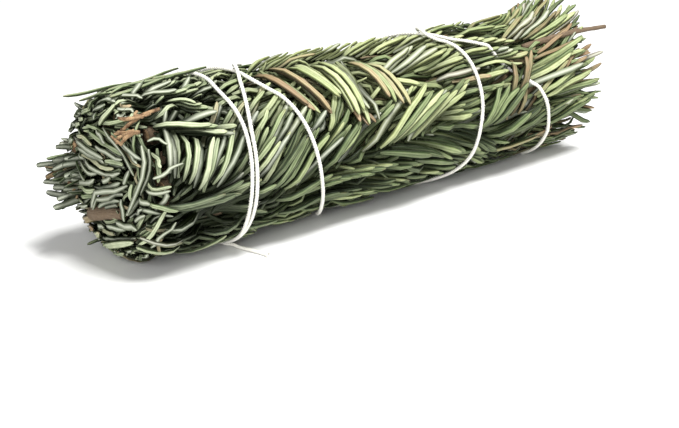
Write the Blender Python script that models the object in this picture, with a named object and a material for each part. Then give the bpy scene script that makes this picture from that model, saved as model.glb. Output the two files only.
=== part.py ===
"""Rosemary smudge stick: leafy sprigs laid along each other and wound with cotton string.

The stick lies along X on the plane Z = 0, with its cut stem ends at -X and its leaf tips at +X.
Its driving sizes are in millimetres, and the meshes are made in metres.
A place in the stick is given by s, along its axis, by an angle round the axis, and by a radius.
The angle is 0 at the back (+Y), 90 on top, 180 at the front (-Y) and 270 underneath.
"""
import math
import random

import bmesh
import bpy
from mathutils import Vector

MM = 0.001

# The bundle
TIP_REACH = 70.0            # the furthest leaf tips and stem ends, either way along the axis
RADIUS_MIDDLE = 18.1
RADIUS_TAPER = -0.015       # thicker at the cut end: change of radius for each millimetre
PRESSED = 0.5               # depth of the flat that the stick's weight presses underneath
LUMP = 0.3                  # unevenness of the wound surface
SHOULDER_START = -54.0      # from here to the cut end the bundle rounds off
SHOULDER_LENGTH = 9.0
SHOULDER_DROP = 8.0
FLARE_START = 57.0          # past the last turn of string the tips spread again
FLARE = 0.28
TWIST = -0.6                # the sprigs turn round the axis: degrees for each millimetre

# The needles
NEEDLE_LENGTH = 15.0
TOP_LEAF = 12.0             # the last needle on each stem
BACKWARD_LEAF = 11.0        # those that point back over the cut end
OVERHANG_LEAF = 16.0        # those that reach past it, at the back
NEEDLE_WIDTH = 1.75
NEEDLE_THICKNESS = 0.9
NEEDLE_BEND = 0.4           # where along its length it meets the surface, if no string crosses it
PRESSED_ANGLE = 12.0        # either side of straight down, where the needles lie flat on Z = 0
REST_SNAP = 0.3             # a flat needle's edges lower than this are laid on Z = 0
ROOT_RISE = 0.2             # above the middle of its stem
STRAIGHT_PLAY = 0.1         # how far its straight stretches may pass over the dented surface
ROOT_SCALE = 0.4            # of its width and thickness, where a needle leaves its stem
NEEDLE_ANGLE = 27.0         # from its stem
CLEARANCE = 0.16            # half of the gap between neighbouring sprigs

# The string
STRING_RADIUS = 0.43
STRING_GAP = 0.42           # between the string and the leaves that it presses down
GROOVE = 1.4                # how deep the string presses the leaves
GROOVE_WIDTH = 3.6
STRING_SIDES = 5
STRING_STEP = 12.8          # degrees of winding between two rings of its tube

# Where the string runs: (angle wound, s), read from its turns at the front and carried round the back
STRING_ROUTE = [
    (-102, -38.6), (-60, -38.8), (0, -38.8), (70, -38.2), (98, -37.7), (115, -38.2), (133, -37.5),
    (147, -37.3), (168, -37.6), (184, -37.9), (200, -38.0), (215, -37.8), (248, -36.6), (300, -36.3),
    (360, -34.6), (420, -31.4), (450, -29.6), (470, -28.7), (482, -27.0), (490, -25.2), (500, -23.7),
    (511, -22.5), (524, -21.4), (538, -20.4), (554, -19.2), (567, -17.9), (585, -15.8), (608, -12.0),
    (660, -1.0), (720, 10.0), (780, 17.0), (800, 21.0), (815, 24.0), (829, 28.4), (834, 32.0),
    (841, 36.4), (846, 38.4), (855, 40.5), (870, 43.8), (890, 47.7), (899, 49.2), (914, 50.8),
    (931, 52.6), (968, 54.2), (1010, 55.0), (1050, 53.0), (1090, 46.0), (1130, 36.5), (1156, 27.5),
    (1170, 23.7), (1180, 23.2), (1187, 24.8), (1193, 27.0), (1202, 28.4), (1211, 29.0), (1223, 29.1),
    (1238, 28.8), (1251, 28.3), (1264, 27.6), (1276, 27.3), (1291, 27.1), (1307, 26.0), (1321, 23.8),
    (1350, 14.0), (1385, 1.0), (1440, -8.5), (1500, -20.5), (1516, -25.4), (1535, -29.4), (1542, -30.4),
    (1557, -32.5), (1568, -33.9), (1577, -34.9), (1588, -35.8), (1600, -36.2), (1624, -36.6),
    (1640, -36.7), (1688, -37.2),
]
CROSSINGS = [1172.0, 1382.0, 1535.0]        # angles at which a later turn lies over an earlier one
CROSSING_SPREAD = 17.0      # degrees over which the later turn rises
KNOT_PLACE = (-38.0, 257.0)     # s and angle, underneath
KNOT_SIZE = (1.4, 1.1, 0.75)    # half of its size round the stick, along it and outwards
KNOT_DEPTH = 0.65           # how much deeper it presses than the string
TAIL_HEIGHT = 0.48          # of the middle of the free end that lies on Z = 0
TAIL_START = [(0.8, -2.2, -0.4), (1.4, -4.5, -0.2)]     # from the knot, before it lies down
TAIL_RUN = [(2.0, -6.8), (2.7, -9.2), (3.4, -11.6), (4.1, -14.0)]

# The layers of sprigs: depths are measured inwards from the bundle's surface
OUTER = dict(count=7, first=194.0, top=0.0, floor=3.0, start=-57.0, end=58.0, pitch=5.0, core=2.2,
             reach=-60.3, backward=(3.0, 7.0))
UNDER = dict(count=7, first=219.7, top=3.45, floor=6.5, start=-57.0, end=55.0, pitch=12.0, core=2.0,
             reach=-59.2, backward=(3.0,))
INNER = dict(count=6, first=200.0, top=7.1, floor=12.6, start=-56.0, end=53.0, pitch=22.0, core=1.8,
             reach=-59.5, backward=())
STEM_CUT_RADIUS = 1.35
STEM_TIP_RADIUS = 0.55
CORE_THICKNESS = 0.75
STUBS = {3: -64.0, 5: -63.5, 6: -63.0}      # outer sprigs whose stems show at the cut end
STEM_SIDES = 4
STEM_STEP = 13.0

HEART_PITCH = 9.0
HEART_TURN = 137.5          # degrees between a leaf and the next one up the stem
HEART_LEAF = 11.0
HEART_RADIUS = 3.4
CUT_END_DENSE = -48.0       # the inner layers are leafier from here to the cut end

# The sprig that is folded over the cut end
CURL_PLACE = -61.0
CURL_INNER = 3.2
CURL_OUTER = 11.6
CURL_LIMIT = 14.3
CURL_DOME = 1.6
CURL_TURN = (40.0, 600.0)
CURL_RADIUS = (1.0, 0.7)    # of its stem, at the middle of the coil and at the rim
CURL_LEAVES = 34
CURL_LEAF = 9.0

GREENS = [(0.16, 0.22, 0.08), (0.20, 0.27, 0.11), (0.13, 0.19, 0.08), (0.24, 0.30, 0.13),
          (0.18, 0.21, 0.10), (0.15, 0.20, 0.09), (0.22, 0.24, 0.12)]
DRY_BROWN = (0.20, 0.16, 0.09)
COTTON = (0.80, 0.78, 0.72)


def body_radius(s):
    """Radius of the bundle before its cut end is rounded."""
    return RADIUS_MIDDLE + RADIUS_TAPER * s


def axis_height(s):
    """Height of the axis, so that the lowest line of the bundle lies flat on Z = 0."""
    return body_radius(s) - PRESSED


def surface(s, angle):
    """Radius of the bundle's surface, without the grooves that the string presses in it."""
    turn = math.radians(angle)
    radius = body_radius(s) + LUMP * math.sin(3.0 * turn + 0.11 * s) * math.cos(0.07 * s - turn)
    past = min(max((SHOULDER_START - s) / SHOULDER_LENGTH, 0.0), 0.94)
    radius -= SHOULDER_DROP * (1.0 - math.sqrt(1.0 - past * past))
    radius += FLARE * max(s - FLARE_START, 0.0) * max(math.sin(turn), -0.2)
    below = -math.sin(turn)
    if below > 0.0:
        radius = min(radius, axis_height(s) / below)
    return radius


def place(s, angle, radius):
    """A point of the stick, in metres."""
    turn = math.radians(angle)
    return Vector((s, radius * math.cos(turn), axis_height(s) + radius * math.sin(turn))) * MM


def outward(angle):
    turn = math.radians(angle)
    return Vector((0.0, math.cos(turn), math.sin(turn)))


def route_at(angle):
    """Where along the axis the string is, once it has been wound to an angle (Catmull-Rom)."""
    last = len(STRING_ROUTE) - 1
    spot = next((i for i in range(last) if angle <= STRING_ROUTE[i + 1][0]), last - 1)
    (a0, s0), (a1, s1) = STRING_ROUTE[spot], STRING_ROUTE[spot + 1]
    before = STRING_ROUTE[max(spot - 1, 0)]
    after = STRING_ROUTE[min(spot + 2, last)]
    slope0 = (s1 - before[1]) / (a1 - before[0])
    slope1 = (after[1] - s0) / (after[0] - a0)
    t = (angle - a0) / (a1 - a0)
    span = a1 - a0
    return ((2 * t**3 - 3 * t**2 + 1) * s0 + (t**3 - 2 * t**2 + t) * span * slope0
            + (3 * t**2 - 2 * t**3) * s1 + (t**3 - t**2) * span * slope1)


def string_angles(step):
    first, last = STRING_ROUTE[0][0], STRING_ROUTE[-1][0]
    steps = round((last - first) / step)
    return [first + (last - first) * i / steps for i in range(steps + 1)]


WOUND = [(route_at(angle), angle % 360.0) for angle in string_angles(4.0)]


def string_distance(s, angle):
    """How far a place on the surface is from the nearest turn of string."""
    nearest = 1e9
    for at, turned in WOUND:
        across = (angle - turned + 180.0) % 360.0 - 180.0
        nearest = min(nearest, math.hypot(s - at, math.radians(across) * RADIUS_MIDDLE))
    knot_s, knot_angle = KNOT_PLACE
    across = (angle - knot_angle + 180.0) % 360.0 - 180.0
    knot = math.hypot(s - knot_s, math.radians(across) * RADIUS_MIDDLE) - KNOT_SIZE[0]
    return nearest, knot


def pressed_in(s, angle):
    """How far the string and its knot press the leaves in."""
    to_string, to_knot = string_distance(s, angle)
    groove = GROOVE * math.exp(-(to_string / GROOVE_WIDTH) ** 2)
    hollow = (GROOVE + KNOT_DEPTH) * math.exp(-(max(to_knot, 0.0) / GROOVE_WIDTH) ** 2)
    return max(groove, hollow)


def solid(name, points, faces):
    """A closed mesh with its faces turned outwards."""
    shell = bmesh.new()
    corners = [shell.verts.new(point) for point in points]
    for face in faces:
        shell.faces.new([corners[i] for i in face])
    bmesh.ops.recalc_face_normals(shell, faces=shell.faces)
    mesh = bpy.data.meshes.new(name)
    shell.to_mesh(mesh)
    shell.free()
    return bpy.data.objects.new(name, mesh)


def finish(name, colour, roughness):
    material = bpy.data.materials.new(name)
    material.use_nodes = True
    shader = material.node_tree.nodes["Principled BSDF"]
    shader.inputs["Base Color"].default_value = (*colour, 1.0)
    shader.inputs["Roughness"].default_value = roughness
    shader.inputs["Metallic"].default_value = 0.0
    return material


def keep_one_body(mesh):
    """Fill the hollows that crossing leaves seal, and drop loose scraps: only the largest shell stays."""
    shape = bmesh.new()
    shape.from_mesh(mesh)
    waiting = set(shape.verts)
    shells = []
    while waiting:
        front = [waiting.pop()]
        shell = list(front)
        while front:
            for edge in front.pop().link_edges:
                for corner in edge.verts:
                    if corner in waiting:
                        waiting.remove(corner)
                        front.append(corner)
                        shell.append(corner)
        shells.append(shell)
    largest = max(shells, key=len)
    for shell in shells:
        if shell is not largest:
            bmesh.ops.delete(shape, geom=shell, context="VERTS")
    shape.to_mesh(mesh)
    shape.free()


def fuse(name, pieces, material):
    """Join the first piece with all the others into one closed body."""
    base, others = pieces[0], pieces[1:]
    bpy.context.scene.collection.objects.link(base)
    loose = bpy.data.collections.new(name + "_pieces")
    bpy.context.scene.collection.children.link(loose)
    for piece in others:
        loose.objects.link(piece)
    union = base.modifiers.new("union", "BOOLEAN")
    union.operation = "UNION"
    union.operand_type = "COLLECTION"
    union.collection = loose
    union.solver = "EXACT"
    evaluated = base.evaluated_get(bpy.context.evaluated_depsgraph_get())
    mesh = bpy.data.meshes.new_from_object(evaluated)
    mesh.name = name
    keep_one_body(mesh)
    base.modifiers.clear()
    base.data = mesh
    base.name = name
    for piece in list(loose.objects):
        bpy.data.objects.remove(piece)
    bpy.data.collections.remove(loose)
    mesh.materials.clear()
    mesh.materials.append(material)
    return base


def tube(name, rings):
    """A closed tube through rings of points, each ring with the same number."""
    sides = len(rings[0])
    points = [point for ring in rings for point in ring]
    faces = [tuple(reversed(range(sides)))]
    for r in range(len(rings) - 1):
        for i in range(sides):
            a, b = r * sides + i, r * sides + (i + 1) % sides
            faces += [(a, b, b + sides), (a, b + sides, a + sides)]
    faces.append(tuple(range((len(rings) - 1) * sides, len(rings) * sides)))
    return solid(name, points, faces)


def needle(root, middle, tip, normal, width, flat_outside=False):
    """A three-sided leaf that bends once. Its ridge is outside, or inside where it is pressed flat."""
    rise = normal * NEEDLE_THICKNESS * MM
    ridge, edge = (-rise, Vector()) if flat_outside else (Vector(), -rise)
    across = (tip - root).cross(normal).normalized() * width * MM / 2
    points = []
    for at, scale in ((root, ROOT_SCALE), (middle, 1.0)):
        points += [at + (edge + across) * scale, at + (edge - across) * scale, at + ridge * scale]
    points.append(tip)
    for point in points:
        if point.z < (REST_SNAP * MM if flat_outside else 0.0):
            point.z = 0.0
    faces = [(0, 1, 2), (0, 3, 4), (0, 4, 1), (1, 4, 5), (1, 5, 2), (2, 5, 3), (2, 3, 0),
             (3, 6, 4), (4, 6, 5), (5, 6, 3)]
    return solid("needle", points, faces)


class LyingSprig:
    """A sprig that runs the bundle's whole length, its leaves pressed into its own layer and sector."""

    def __init__(self, layer, number, draw):
        self.layer = layer
        self.number = number
        self.draw = draw
        self.start = layer["start"] + draw.uniform(0.0, 1.5)
        if layer is OUTER:
            self.start = STUBS.get(number, self.start)
        self.end = layer["end"] + draw.uniform(-2.0, 1.0)
        self.slope = math.atan(math.radians(TWIST) * RADIUS_MIDDLE)

    def angle(self, s):
        """Angle of the stem."""
        return self.layer["first"] + self.number * 360.0 / self.layer["count"] + TWIST * s

    def section(self, s):
        """Half width and half thickness of the stem, which swells to a slim core among its leaves."""
        along = (s - self.start) / (self.end - self.start)
        thick = STEM_CUT_RADIUS + (STEM_TIP_RADIUS - STEM_CUT_RADIUS) * along
        swell = min((s - self.layer["start"] - 2.0) / 8.0, (self.end - s) / 14.0, 1.0)
        if swell <= 0.0:
            return thick, thick
        return thick + (self.layer["core"] - thick) * swell, min(thick, CORE_THICKNESS)

    def centre(self, s):
        """Angle and radius of the stem's centre line. A stem that stands out of the cut end is straight."""
        within = max(s, self.layer["start"])
        angle = self.angle(within)
        return angle, surface(within, angle) - self.layer["floor"] + self.section(s)[1]

    def stem(self):
        rings = []
        steps = math.ceil((self.end - self.start) / STEM_STEP)
        for i in range(steps + 1):
            s = self.start + (self.end - self.start) * i / steps
            half_width, half_thick = self.section(s)
            angle, radius = self.centre(s)
            middle = place(s, angle, radius)
            out = outward(angle)
            along = (out.cross(Vector((1.0, 0.0, 0.0))) * math.sin(self.slope)
                     + Vector((math.cos(self.slope), 0.0, 0.0)))
            across = along.cross(out)
            ring = []
            for corner in range(STEM_SIDES):
                turn = 2.0 * math.pi * corner / STEM_SIDES
                ring.append(middle + (across * half_width * math.cos(turn)
                                      + out * half_thick * math.sin(turn)) * MM)
            rings.append(ring)
        return tube("stem", rings)

    def leaf(self, s, side, heading, length, overhang=False):
        """A leaf rooted at s. Side is -1, 0 or 1; heading is 1 towards the tips and -1 towards the cut."""
        layer, draw = self.layer, self.draw
        lean = side * (NEEDLE_ANGLE + draw.uniform(-2.0, 2.0))
        course = self.slope + heading * math.radians(lean)
        length *= draw.uniform(0.85, 1.12)
        width = NEEDLE_WIDTH * draw.uniform(0.9, 1.08)
        level = body_radius(s) - layer["top"]
        sector = 180.0 / layer["count"] - math.degrees(CLEARANCE / (level - 2.0))

        def along(part):
            """A place on the leaf's middle line, kept inside the sprig's own sector."""
            at = s + heading * length * part * math.cos(course)
            at = min(max(at, -TIP_REACH if overhang else layer["reach"]), TIP_REACH)
            swung = self.angle(s) + math.degrees(heading * length * part * math.sin(course) / level)
            half_width = 0.5 * width if part < 1.0 else 0.0
            room = sector - math.degrees(half_width / (level - 1.5))
            return at, self.angle(at) + min(max(swung - self.angle(at), -room), room)

        def level_at(part):
            """How far out the leaf may lie, under the string too."""
            at, angle = along(part)
            radius = surface(at, angle) - layer["top"]
            if layer is OUTER:
                radius -= pressed_in(at, angle)
            if overhang:
                radius = max(radius, surface(SHOULDER_START, angle) - 1.0)
            return radius

        parts = [0.05 * i for i in range(5, 21)]
        bend = NEEDLE_BEND
        crossing = min(parts[:-3], key=lambda part: string_distance(*along(part))[0])
        if layer is OUTER and string_distance(*along(crossing))[0] < 2.5:
            bend = crossing
        flat = layer is OUTER and abs(along(bend)[1] % 360.0 - 270.0) < PRESSED_ANGLE
        root_angle, root_radius = self.centre(s)
        root_radius += ROOT_RISE
        middle_radius = level_at(bend) - (0.0 if flat else draw.uniform(0.0, 0.25))
        tip_radius = level_at(1.0) - (0.0 if flat else draw.uniform(0.1, 0.6))
        for part in parts:
            if part < bend:
                share = part / bend
                over = root_radius + (middle_radius - root_radius) * share - level_at(part)
                middle_radius -= max(over - STRAIGHT_PLAY, 0.0) / share
            else:
                share = (part - bend) / (1.0 - bend)
                over = middle_radius + (tip_radius - middle_radius) * share - level_at(part)
                tip_radius -= max(over - STRAIGHT_PLAY, 0.0) / max(share, 0.3)
        normal = Vector((0.0, 0.0, -1.0)) if flat else outward(along(bend)[1])
        root, middle, tip = [place(*spot) for spot in (
            (s, root_angle, root_radius), (*along(bend), middle_radius), (*along(1.0), tip_radius))]
        return needle(root, middle, tip, normal, width, flat)


def lying_sprig(name, layer, number, colour):
    draw = random.Random(name)
    sprig = LyingSprig(layer, number, draw)
    pieces = [sprig.stem()]
    s = max(sprig.start, layer["start"]) + 1.2
    while s < sprig.end - 1.0:
        for side in (-1, 1):
            root = s + (side + 1) * layer["pitch"] / 4 + draw.uniform(-0.3, 0.3)
            length = min(NEEDLE_LENGTH, (TIP_REACH - 2.0 - root) * 1.05)
            pieces.append(sprig.leaf(root, side, 1, length))
        s += layer["pitch"] * (1.0 if layer is OUTER or s > CUT_END_DENSE else 0.5)
    pieces.append(sprig.leaf(sprig.end - 1.0, 0, 1, TOP_LEAF))
    angle = sprig.angle(layer["start"]) % 360.0
    overhang = layer is OUTER and (angle > 300.0 or angle < 60.0)
    for back in layer["backward"]:
        for side in (-1, 1):
            root = layer["start"] + back
            pieces.append(sprig.leaf(root, side, -1, OVERHANG_LEAF if overhang else BACKWARD_LEAF, overhang))
    return fuse(name, pieces, finish(name + "_leaf", colour, 0.75))


def heart_sprig(name, colour):
    """The sprig on the bundle's axis, its leaves set round the stem in a spiral."""
    draw = random.Random(name)
    start, end = INNER["start"], INNER["end"]
    steps = round((end - start) / STEM_STEP)
    rings = []
    for i in range(steps + 1):
        s = start + (end - start) * i / steps
        thick = STEM_CUT_RADIUS + (STEM_TIP_RADIUS - STEM_CUT_RADIUS) * i / steps
        rings.append([place(s, 360.0 * corner / STEM_SIDES, thick) for corner in range(STEM_SIDES)])
    pieces = [tube("stem", rings)]
    count = round((end - start) / HEART_PITCH)
    for i in range(count):
        s = start + (end - start) * (i + 0.5) / count
        turned = HEART_TURN * i
        length = HEART_LEAF * draw.uniform(0.85, 1.1)
        pieces.append(needle(place(s, turned, ROOT_RISE), place(s + NEEDLE_BEND * length, turned, 2.2),
                             place(s + length, turned, HEART_RADIUS), outward(turned), NEEDLE_WIDTH))
    return fuse(name, pieces, finish(name + "_leaf", colour, 0.75))


def curled_sprig(name, colour):
    """A sprig folded over the cut end and coiled there, so that its leaves show as a swirl."""
    draw = random.Random(name)
    first, last = CURL_TURN
    face = Vector((-1.0, 0.0, 0.0))

    def at(angle, radius, depth):
        """A place on the domed cut end."""
        s = CURL_PLACE - CURL_DOME * (1.0 - (radius / CURL_LIMIT) ** 2) + depth
        return place(s, angle, radius)

    def coil(part):
        return first + (last - first) * part, CURL_INNER + (CURL_OUTER - CURL_INNER) * part ** 0.8

    rings = []
    steps = 24
    for i in range(steps + 1):
        angle, radius = coil(i / steps)
        thick = CURL_RADIUS[0] + (CURL_RADIUS[1] - CURL_RADIUS[0]) * i / steps
        middle = at(angle, radius, 0.6)
        out = outward(angle)
        rings.append([middle + out * thick * MM, middle + face * thick * MM,
                      middle - out * thick * MM, middle - face * thick * MM])
    pieces = [tube("stem", rings)]
    for i in range(CURL_LEAVES):
        angle, radius = coil((i + 0.5) / CURL_LEAVES)
        side = 1 if i % 2 else -1
        length = math.degrees(CURL_LEAF * draw.uniform(0.85, 1.1) / max(radius, 4.5))
        middle_radius = min(max(radius + side * 1.4, 1.2), CURL_LIMIT - 1.0)
        tip_radius = min(max(radius + side * 2.9, 1.0), CURL_LIMIT - 0.2)
        tip = at(angle + length, tip_radius, draw.uniform(-1.0, -0.1))
        pieces.append(needle(at(angle, radius, 0.3), at(angle + 0.45 * length, middle_radius, -0.9), tip,
                             face, NEEDLE_WIDTH))
    return fuse(name, pieces, finish(name + "_leaf", colour, 0.75))


def string_point(angle):
    """Centre line of the wound string: pressed into the leaves, and lifted where it crosses itself."""
    s = route_at(angle)
    radius = surface(s, angle) - GROOVE + STRING_GAP + STRING_RADIUS
    for crossing in CROSSINGS:
        near = abs(angle - crossing) / CROSSING_SPREAD
        if near < 1.0:
            lift = 2.0 * STRING_RADIUS + 0.3
            radius += lift * 0.5 * (1.0 + math.cos(math.pi * near))
    return place(s, angle, radius)


def string_tube(name, centres):
    """A round tube along a list of points."""
    rings = []
    normal = Vector((0.0, 0.0, 1.0))
    for i, centre in enumerate(centres):
        ahead = centres[min(i + 1, len(centres) - 1)] - centres[max(i - 1, 0)]
        ahead.normalize()
        if i == 0 and abs(ahead.z) > 0.9:
            normal = Vector((1.0, 0.0, 0.0))
        normal = (normal - ahead * normal.dot(ahead)).normalized()
        across = ahead.cross(normal)
        ring = []
        for corner in range(STRING_SIDES):
            turn = 2.0 * math.pi * corner / STRING_SIDES
            ring.append(centre + (normal * math.cos(turn) + across * math.sin(turn)) * STRING_RADIUS * MM)
        rings.append(ring)
    return tube(name, rings)


def cotton_string(name):
    """One length of string: knotted, wound to the tips and back, and knotted to itself."""
    pieces = [string_tube("wound", [string_point(angle) for angle in string_angles(STRING_STEP)])]
    knot_s, knot_angle = KNOT_PLACE
    radius = surface(knot_s, knot_angle) - GROOVE - KNOT_DEPTH + STRING_GAP + KNOT_SIZE[2]
    knot = place(knot_s, knot_angle, radius)
    out = outward(knot_angle)
    across = Vector((1.0, 0.0, 0.0)).cross(out)
    rings = []
    for i in range(1, 4):
        polar = math.pi * i / 4
        rings.append([knot + (across * KNOT_SIZE[0] * -math.cos(polar)
                              + Vector((1.0, 0.0, 0.0)) * KNOT_SIZE[1] * math.sin(polar) * math.cos(turn)
                              + out * KNOT_SIZE[2] * math.sin(polar) * math.sin(turn)) * MM
                      for turn in [2.0 * math.pi * k / 6 for k in range(6)]])
    pieces.append(tube("knot", rings))
    tail = [knot] + [knot + Vector(step) * MM for step in TAIL_START]
    tail += [Vector((knot.x + ahead * MM, knot.y + aside * MM, TAIL_HEIGHT * MM)) for ahead, aside in TAIL_RUN]
    pieces.append(string_tube("tail", tail))
    return fuse(name, pieces, finish("cotton", COTTON, 0.9))


def build():
    for old in list(bpy.data.objects):
        bpy.data.objects.remove(old)
    for number in range(OUTER["count"]):
        lying_sprig(f"outer_sprig_{number + 1}", OUTER, number, GREENS[number])
    for number in range(UNDER["count"]):
        colour = DRY_BROWN if number in (1, 4) else GREENS[-1 - number]
        lying_sprig(f"under_sprig_{number + 1}", UNDER, number, colour)
    for number in range(INNER["count"]):
        lying_sprig(f"inner_sprig_{number + 1}", INNER, number, GREENS[number])
    heart_sprig("heart_sprig", GREENS[2])
    curled_sprig("curled_sprig", GREENS[4])
    cotton_string("cotton_string")


build()
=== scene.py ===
"""Dresses a rosemary smudge stick: leafy sprigs wound with cotton string, lying on a plain pale floor.

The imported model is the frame, and every sprig and the string here stand for one of its solids.
Sizes are in millimetres, and the meshes are made in metres. As in the part's own source, a place
in the stick is given by s, along its axis, and by an angle round the axis: 0 at the back (+Y),
90 on top, 180 at the front (-Y) and 270 underneath. The cut stem ends are at -X.
"""
import math
import random

import bpy
import numpy as np
from bpy.props import FloatProperty, FloatVectorProperty, IntProperty, PointerProperty
from mathutils import Matrix, Vector


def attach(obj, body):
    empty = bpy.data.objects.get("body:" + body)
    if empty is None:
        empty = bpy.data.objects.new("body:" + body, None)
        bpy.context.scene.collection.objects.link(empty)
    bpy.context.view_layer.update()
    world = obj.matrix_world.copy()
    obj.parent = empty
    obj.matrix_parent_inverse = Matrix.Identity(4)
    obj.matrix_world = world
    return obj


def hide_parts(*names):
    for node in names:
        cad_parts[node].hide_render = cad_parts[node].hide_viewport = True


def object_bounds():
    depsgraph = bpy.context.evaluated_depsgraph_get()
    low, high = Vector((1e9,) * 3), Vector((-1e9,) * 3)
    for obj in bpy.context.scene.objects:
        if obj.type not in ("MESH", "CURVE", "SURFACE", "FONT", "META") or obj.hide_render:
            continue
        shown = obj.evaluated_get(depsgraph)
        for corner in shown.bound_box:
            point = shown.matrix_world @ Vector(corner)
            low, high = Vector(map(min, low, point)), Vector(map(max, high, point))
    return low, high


bl_info = {
    "name": "Rosemary smudge stick",
    "version": (1, 0, 0),
    "blender": (4, 5, 0),
    "location": "View3D > Sidebar > Smudge stick",
    "description": "Grows the leafy sprigs, winds the cotton string and sets up the stage",
    "category": "Object",
}

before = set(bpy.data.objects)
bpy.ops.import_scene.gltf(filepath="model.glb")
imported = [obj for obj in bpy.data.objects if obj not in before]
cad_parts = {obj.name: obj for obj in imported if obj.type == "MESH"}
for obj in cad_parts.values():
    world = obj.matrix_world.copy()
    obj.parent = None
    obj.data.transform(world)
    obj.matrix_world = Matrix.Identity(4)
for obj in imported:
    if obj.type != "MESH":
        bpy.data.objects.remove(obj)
CAD_LOW, CAD_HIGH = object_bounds()
MM = 0.001

# The bundle, as the frame has it
RADIUS_MIDDLE = 18.1
RADIUS_TAPER = -0.015
PRESSED = 0.5
LUMP = 0.3
SHOULDER_START = -54.0
SHOULDER_LENGTH = 9.0
SHOULDER_DROP = 8.0
FLARE_START = 57.0
FLARE = 0.28
TWIST = -0.6
TIP_REACH = CAD_HIGH.x / MM
CUT_REACH = -61.5
# Layers of sprigs: how many, the first stem's angle, how deep the stems lie, where they start and end,
# and the numbers of those that show at the cut end, with their start
OUTER = dict(count=7, first=194.0, depth=6.1, start=-57.0, end=58.0, stubs={4: -62.0})
UNDER = dict(count=7, first=219.7, depth=7.3, start=-57.0, end=55.0, stubs={})
INNER = dict(count=6, first=200.0, depth=10.2, start=-56.0, end=53.0, stubs={})
STEM_CUT_RADIUS = 1.35
STEM_TIP_RADIUS = 0.55
HEART_LEAVES = 64
HEART_TURN = 137.5          # from each of its leaves to the next
TUFT_LEAVES = 54

# The string, as the frame has it
STRING_RADIUS = 0.43
STRING_DEPTH = 0.20         # of its centre line, below the bundle's surface
STRING_ROUTE = [
    (-102, -38.6), (-60, -38.8), (0, -38.8), (70, -38.2), (98, -37.7), (115, -38.2), (133, -37.5),
    (147, -37.3), (168, -37.6), (184, -37.9), (200, -38.0), (215, -37.8), (248, -36.6), (300, -36.3),
    (360, -34.6), (420, -31.4), (450, -29.6), (470, -28.7), (482, -27.0), (490, -25.2), (500, -23.7),
    (511, -22.5), (524, -21.4), (538, -20.4), (554, -19.2), (567, -17.9), (585, -15.8), (608, -12.0),
    (660, -1.0), (720, 10.0), (780, 17.0), (800, 21.0), (815, 24.0), (829, 28.4), (834, 32.0),
    (841, 36.4), (846, 38.4), (855, 40.5), (870, 43.8), (890, 47.7), (899, 49.2), (914, 50.8),
    (931, 52.6), (968, 54.2), (1010, 55.0), (1050, 53.0), (1090, 46.0), (1130, 36.5), (1156, 27.5),
    (1170, 23.7), (1180, 23.2), (1187, 24.8), (1193, 27.0), (1202, 28.4), (1211, 29.0), (1223, 29.1),
    (1238, 28.8), (1251, 28.3), (1264, 27.6), (1276, 27.3), (1291, 27.1), (1307, 26.0), (1321, 23.8),
    (1350, 14.0), (1385, 1.0), (1440, -8.5), (1500, -20.5), (1516, -25.4), (1535, -29.4), (1542, -30.4),
    (1557, -32.5), (1568, -33.9), (1577, -34.9), (1588, -35.8), (1600, -36.2), (1624, -36.6),
    (1640, -36.7), (1688, -37.2),
]
CROSSINGS = [1172.0, 1382.0, 1535.0]
CROSSING_SPREAD = 17.0
HIDDEN = (843.0, 885.0)     # where it has slipped under the leaves
HIDDEN_DEPTH = 3.2
CROSSING_LIFT = 2.0 * STRING_RADIUS + 0.3
KNOT_PLACE = (-38.0, 257.0)
KNOT_DEPTH = 0.88
KNOT_HALF = 1.4             # from its middle to its edge
KNOT_SCALE = (0.42, 0.34, 0.3)
TAIL_HEIGHT = 0.48
TAIL_START = [(0.8, -2.2, -0.4), (1.4, -4.5, -0.2)]
TAIL_RUN = [(2.0, -6.8), (2.7, -9.2), (3.4, -11.6), (4.1, -14.0)]

PLY_SIDES = 6
FIBRE_RINGS = 5
STRIPS = 56                 # of the UV map, into which the plies are folded
STRING_SPARE = (1.0, 0.0, 0.0)      # the way across a line that starts upright
TWIG_SPARE = (0.0, 1.0, 0.0)

# How the string presses the leaves
GROOVE = 0.72
GROOVE_WIDTH = 2.5

# One leaf: the share of its length at each ring, and its width and thickness there
RINGS = np.array([0.0, 0.08, 0.22, 0.42, 0.62, 0.80, 0.94, 1.0])
RING_WIDTH = np.array([0.50, 0.74, 0.95, 1.0, 1.0, 0.96, 0.74, 0.30])
RING_THICK = np.array([0.60, 0.82, 1.0, 1.0, 1.0, 0.96, 0.80, 0.42])
BLUNT = np.array([0.0, 0.09, 0.25, 0.47, 0.70, 0.90, 0.985, 1.0])    # rings of a leaf that is cut short
# Its section: a groove along the top, a crest on either side and edges rolled under
SECTION = np.array([(0.0, 0.32), (0.42, 0.50), (0.90, 0.16), (0.84, -0.36),
                    (0.0, -0.14), (-0.84, -0.36), (-0.90, 0.16), (-0.42, 0.50)])
# The share of painted highlight at each point of the section, most on the crests; where it is low, on the
# rolled edges, the material paints shade there
SECTION_HIGHLIGHT = np.array([0.60, 1.0, 0.08, 0.0, 0.0, 0.0, 0.08, 1.0])
SECTION_FELT = np.array([0.0, 0.0, 0.0, 0.35, 1.0, 0.35, 0.0, 0.0])

# What each point of a leaf tells its material, and the places of a sprig's other materials
# Of these, the crest share gives a leaf its painted highlight and the painted shade on its rolled edges, and
# deep, how far it lies under other leaves, darkens it with painted shade
SHADES = ("light", "dry", "felt", "crest_highlight", "along", "deep", "fresh")
BARK, CUT_WOOD = 1, 2

# The size of leaf for which the rows below are written, and the steps of a leaf's path
USUAL_LENGTH = 13.0
USUAL_WIDTH = 1.3
PATH_STEPS = 21

CELL = 0.3                  # of the grids that remember where leaves already lie
UNROLLED = 18.0             # radius at which the side is unrolled
ROUND = 2.0 * math.pi * UNROLLED

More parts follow.
